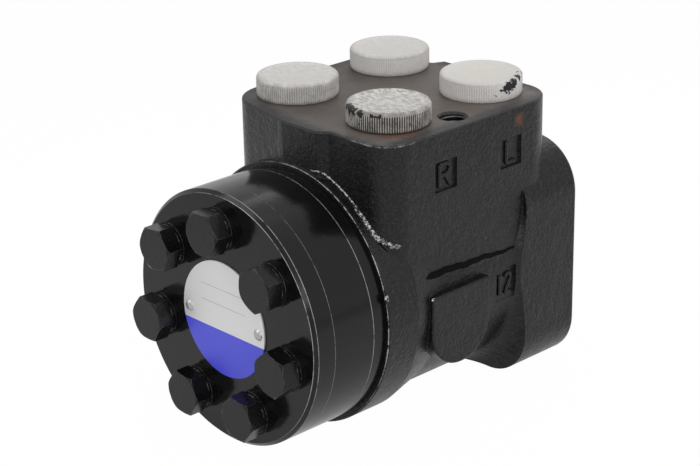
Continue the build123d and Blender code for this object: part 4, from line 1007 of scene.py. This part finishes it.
class STEERING_OT_print_plate(bpy.types.Operator):
    """Print the name plate and finish its rivets"""

    bl_idname = "steering.print_plate"
    bl_label = "Print Plate"

    def execute(self, context):
        give(["name_plate"], plate_print(context.scene.steering_plate))
        give(["plate_rivet_1", "plate_rivet_2"], plain_steel("rivet_metal", 0.5, 0.3))
        return {"FINISHED"}


class STEERING_OT_cast_letters(bpy.types.Operator):
    """Raise the letters R and L that mark the ports, and a plain number"""

    bl_idname = "steering.cast_letters"
    bl_label = "Cast Letters"

    def execute(self, context):
        finish = painted("letter_paint", context.scene.steering_casting.paint)
        grain = finish.noise(900.0, 3.0, 0.6)
        finish.set(roughness=0.18 + 0.12 * grain, normal=finish.bump(grain, 0.00009, 0.8))
        for name, (window, strokes) in LETTERS.items():
            on_body(letter_strokes(name, strokes, window, finish))
        return {"FINISHED"}


def lay_floor(settings):
    """A wide white floor under the unit, which the camera sees as plain white."""
    finish = Finish("floor_white", base_color=tuple(settings.floor), roughness=0.9)
    # painted light: the floor darkens away from the unit, a pool of light round it in reflections
    mottle = finish.noise(3.0, 2.0, 0.5) * 0.05
    away = finish.radius_about(finish.x, finish.y, (0.05, 0.0)).above(0.33 + mottle, 0.16)
    finish.set(base_color=finish.mix(away, tuple(settings.floor), (0.4, 0.4, 0.4)))
    camera, through, shine = (
        finish.node("ShaderNodeLightPath", output=f"Is {kind} Ray")
        for kind in ("Camera", "Transmission", "Glossy")
    )
    share = ((camera + through) * 0.985 + shine * 0.5).clamped()
    glow = finish.node("ShaderNodeEmission", {}, {"Color": (1, 1, 1, 1), "Strength": 1.0})
    matte = Value(finish, finish.shader.outputs[0])
    blend = finish.node("ShaderNodeMixShader", {}, {0: share, 1: matte, 2: glow})
    finish.feed(finish.surface, blend)

    level = (CAD_BOX[0][2] - FLOOR_GAP) / MM
    corners = [(x * FLOOR_HALF / MM, y * FLOOR_HALF / MM, level) for x, y in FLOOR_CORNERS]
    return mesh_piece(
        "floor", corners, np.zeros((0, 3), int), np.array([[0, 1, 2, 3]]), finish, smooth=False
    )


def light_world(scene):
    """White where the camera looks, and dimmer as a light on the unit and in its gloss."""
    scene.world = bpy.data.worlds.new("studio")
    scene.world.use_nodes = True
    studio = Graph(scene.world.node_tree, "ShaderNodeOutputWorld")
    camera, through, shine = (
        studio.node("ShaderNodeLightPath", output=f"Is {kind} Ray")
        for kind in ("Camera", "Transmission", "Glossy")
    )
    seen = camera.larger(through) + shine * 0.7
    strength = (0.45 + seen * 0.55).clamped()
    sky = {"Color": (1, 1, 1, 1), "Strength": strength}
    studio.feed(studio.surface, studio.node("ShaderNodeBackground", {}, sky))


def area_lamp(name, place, size, power):
    """A soft lamp at a place, facing the middle of the unit."""
    light = bpy.data.lights.new(name, "AREA")
    light.shape = "RECTANGLE"
    light.size, light.size_y = size
    light.energy = power
    lamp = bpy.data.objects.new(name, light)
    lamp.location = place
    ahead = Vector(LAMP_TARGET) - Vector(place)
    lamp.rotation_euler = ahead.to_track_quat("-Z", "Y").to_euler()
    bpy.context.scene.collection.objects.link(lamp)


def place_camera(scene, lens):
    """A camera turned by its azimuth, elevation and roll, as far from its aim as the eye is.

    Its axes are back = (sin a cos e, -cos a cos e, sin e), right = (cos a, sin a, 0) and
    up = back x right, with right and up turned by the roll.
    """
    camera = bpy.data.cameras.new("camera")
    camera.lens = lens
    camera.sensor_width = 36.0
    camera.shift_x, camera.shift_y = SHIFT
    camera.clip_start = 0.01
    camera.clip_end = 20.0
    a, e, roll = np.radians((AZIMUTH, ELEVATION, ROLL))
    back = Vector((np.sin(a) * np.cos(e), -np.cos(a) * np.cos(e), np.sin(e)))
    right = Vector((np.cos(a), np.sin(a), 0.0))
    up = back.cross(right)
    across = right * np.cos(roll) + up * np.sin(roll)
    rise = up * np.cos(roll) - right * np.sin(roll)
    turn = Matrix((across, rise, back)).transposed().to_4x4()
    reach = (Vector(EYE) - Vector(AIM)).length
    view = bpy.data.objects.new("camera", camera)
    scene.collection.objects.link(view)
    view.matrix_world = Matrix.Translation(Vector(AIM) + back * reach) @ turn
    scene.camera = view


class STEERING_OT_set_stage(bpy.types.Operator):
    """Lay the floor and set the lamps, the world and the camera"""

    bl_idname = "steering.set_stage"
    bl_label = "Set Stage"

    def execute(self, context):
        scene = context.scene
        settings = scene.steering_stage
        floor = lay_floor(settings)
        light_world(scene)
        for name, (place, size, share) in LAMPS.items():
            area_lamp(name, place, size, settings.key_power * share)
        place_camera(scene, settings.lens)
        scene.view_settings.view_transform = "Standard"
        return {"FINISHED"}


class STEERING_PT_panel(bpy.types.Panel):
    """Lists the dressing steps"""

    bl_idname = "STEERING_PT_panel"
    bl_label = "Steering Unit"
    bl_space_type = "VIEW_3D"
    bl_region_type = "UI"
    bl_category = "Steering Unit"

    def draw(self, context):
        for settings in ("casting", "stack", "cap", "plate", "stage"):
            group = getattr(context.scene, "steering_" + settings)
            box = self.layout.box()
            for key in group.__annotations__:
                box.prop(group, key)
        for operator in OPERATORS:
            self.layout.operator(operator.bl_idname)


GROUPS = {
    "steering_casting": CastingSettings,
    "steering_stack": StackSettings,
    "steering_cap": CapSettings,
    "steering_plate": PlateSettings,
    "steering_stage": StageSettings,
}
OPERATORS = (
    STEERING_OT_paint_casting,
    STEERING_OT_paint_stack,
    STEERING_OT_finish_inside,
    STEERING_OT_knurl_caps,
    STEERING_OT_print_plate,
    STEERING_OT_cast_letters,
    STEERING_OT_set_stage,
)
CLASSES = (*GROUPS.values(), *OPERATORS, STEERING_PT_panel)


def register():
    for cls in CLASSES:
        bpy.utils.register_class(cls)
    for name, group in GROUPS.items():
        setattr(bpy.types.Scene, name, bpy.props.PointerProperty(type=group))


def unregister():
    for name in GROUPS:
        delattr(bpy.types.Scene, name)
    for cls in reversed(CLASSES):
        bpy.utils.unregister_class(cls)


def main():
    register()
    for operator in OPERATORS:
        category, name = operator.bl_idname.split(".")
        getattr(getattr(bpy.ops, category), name)()


if __name__ == "__main__":
    main()
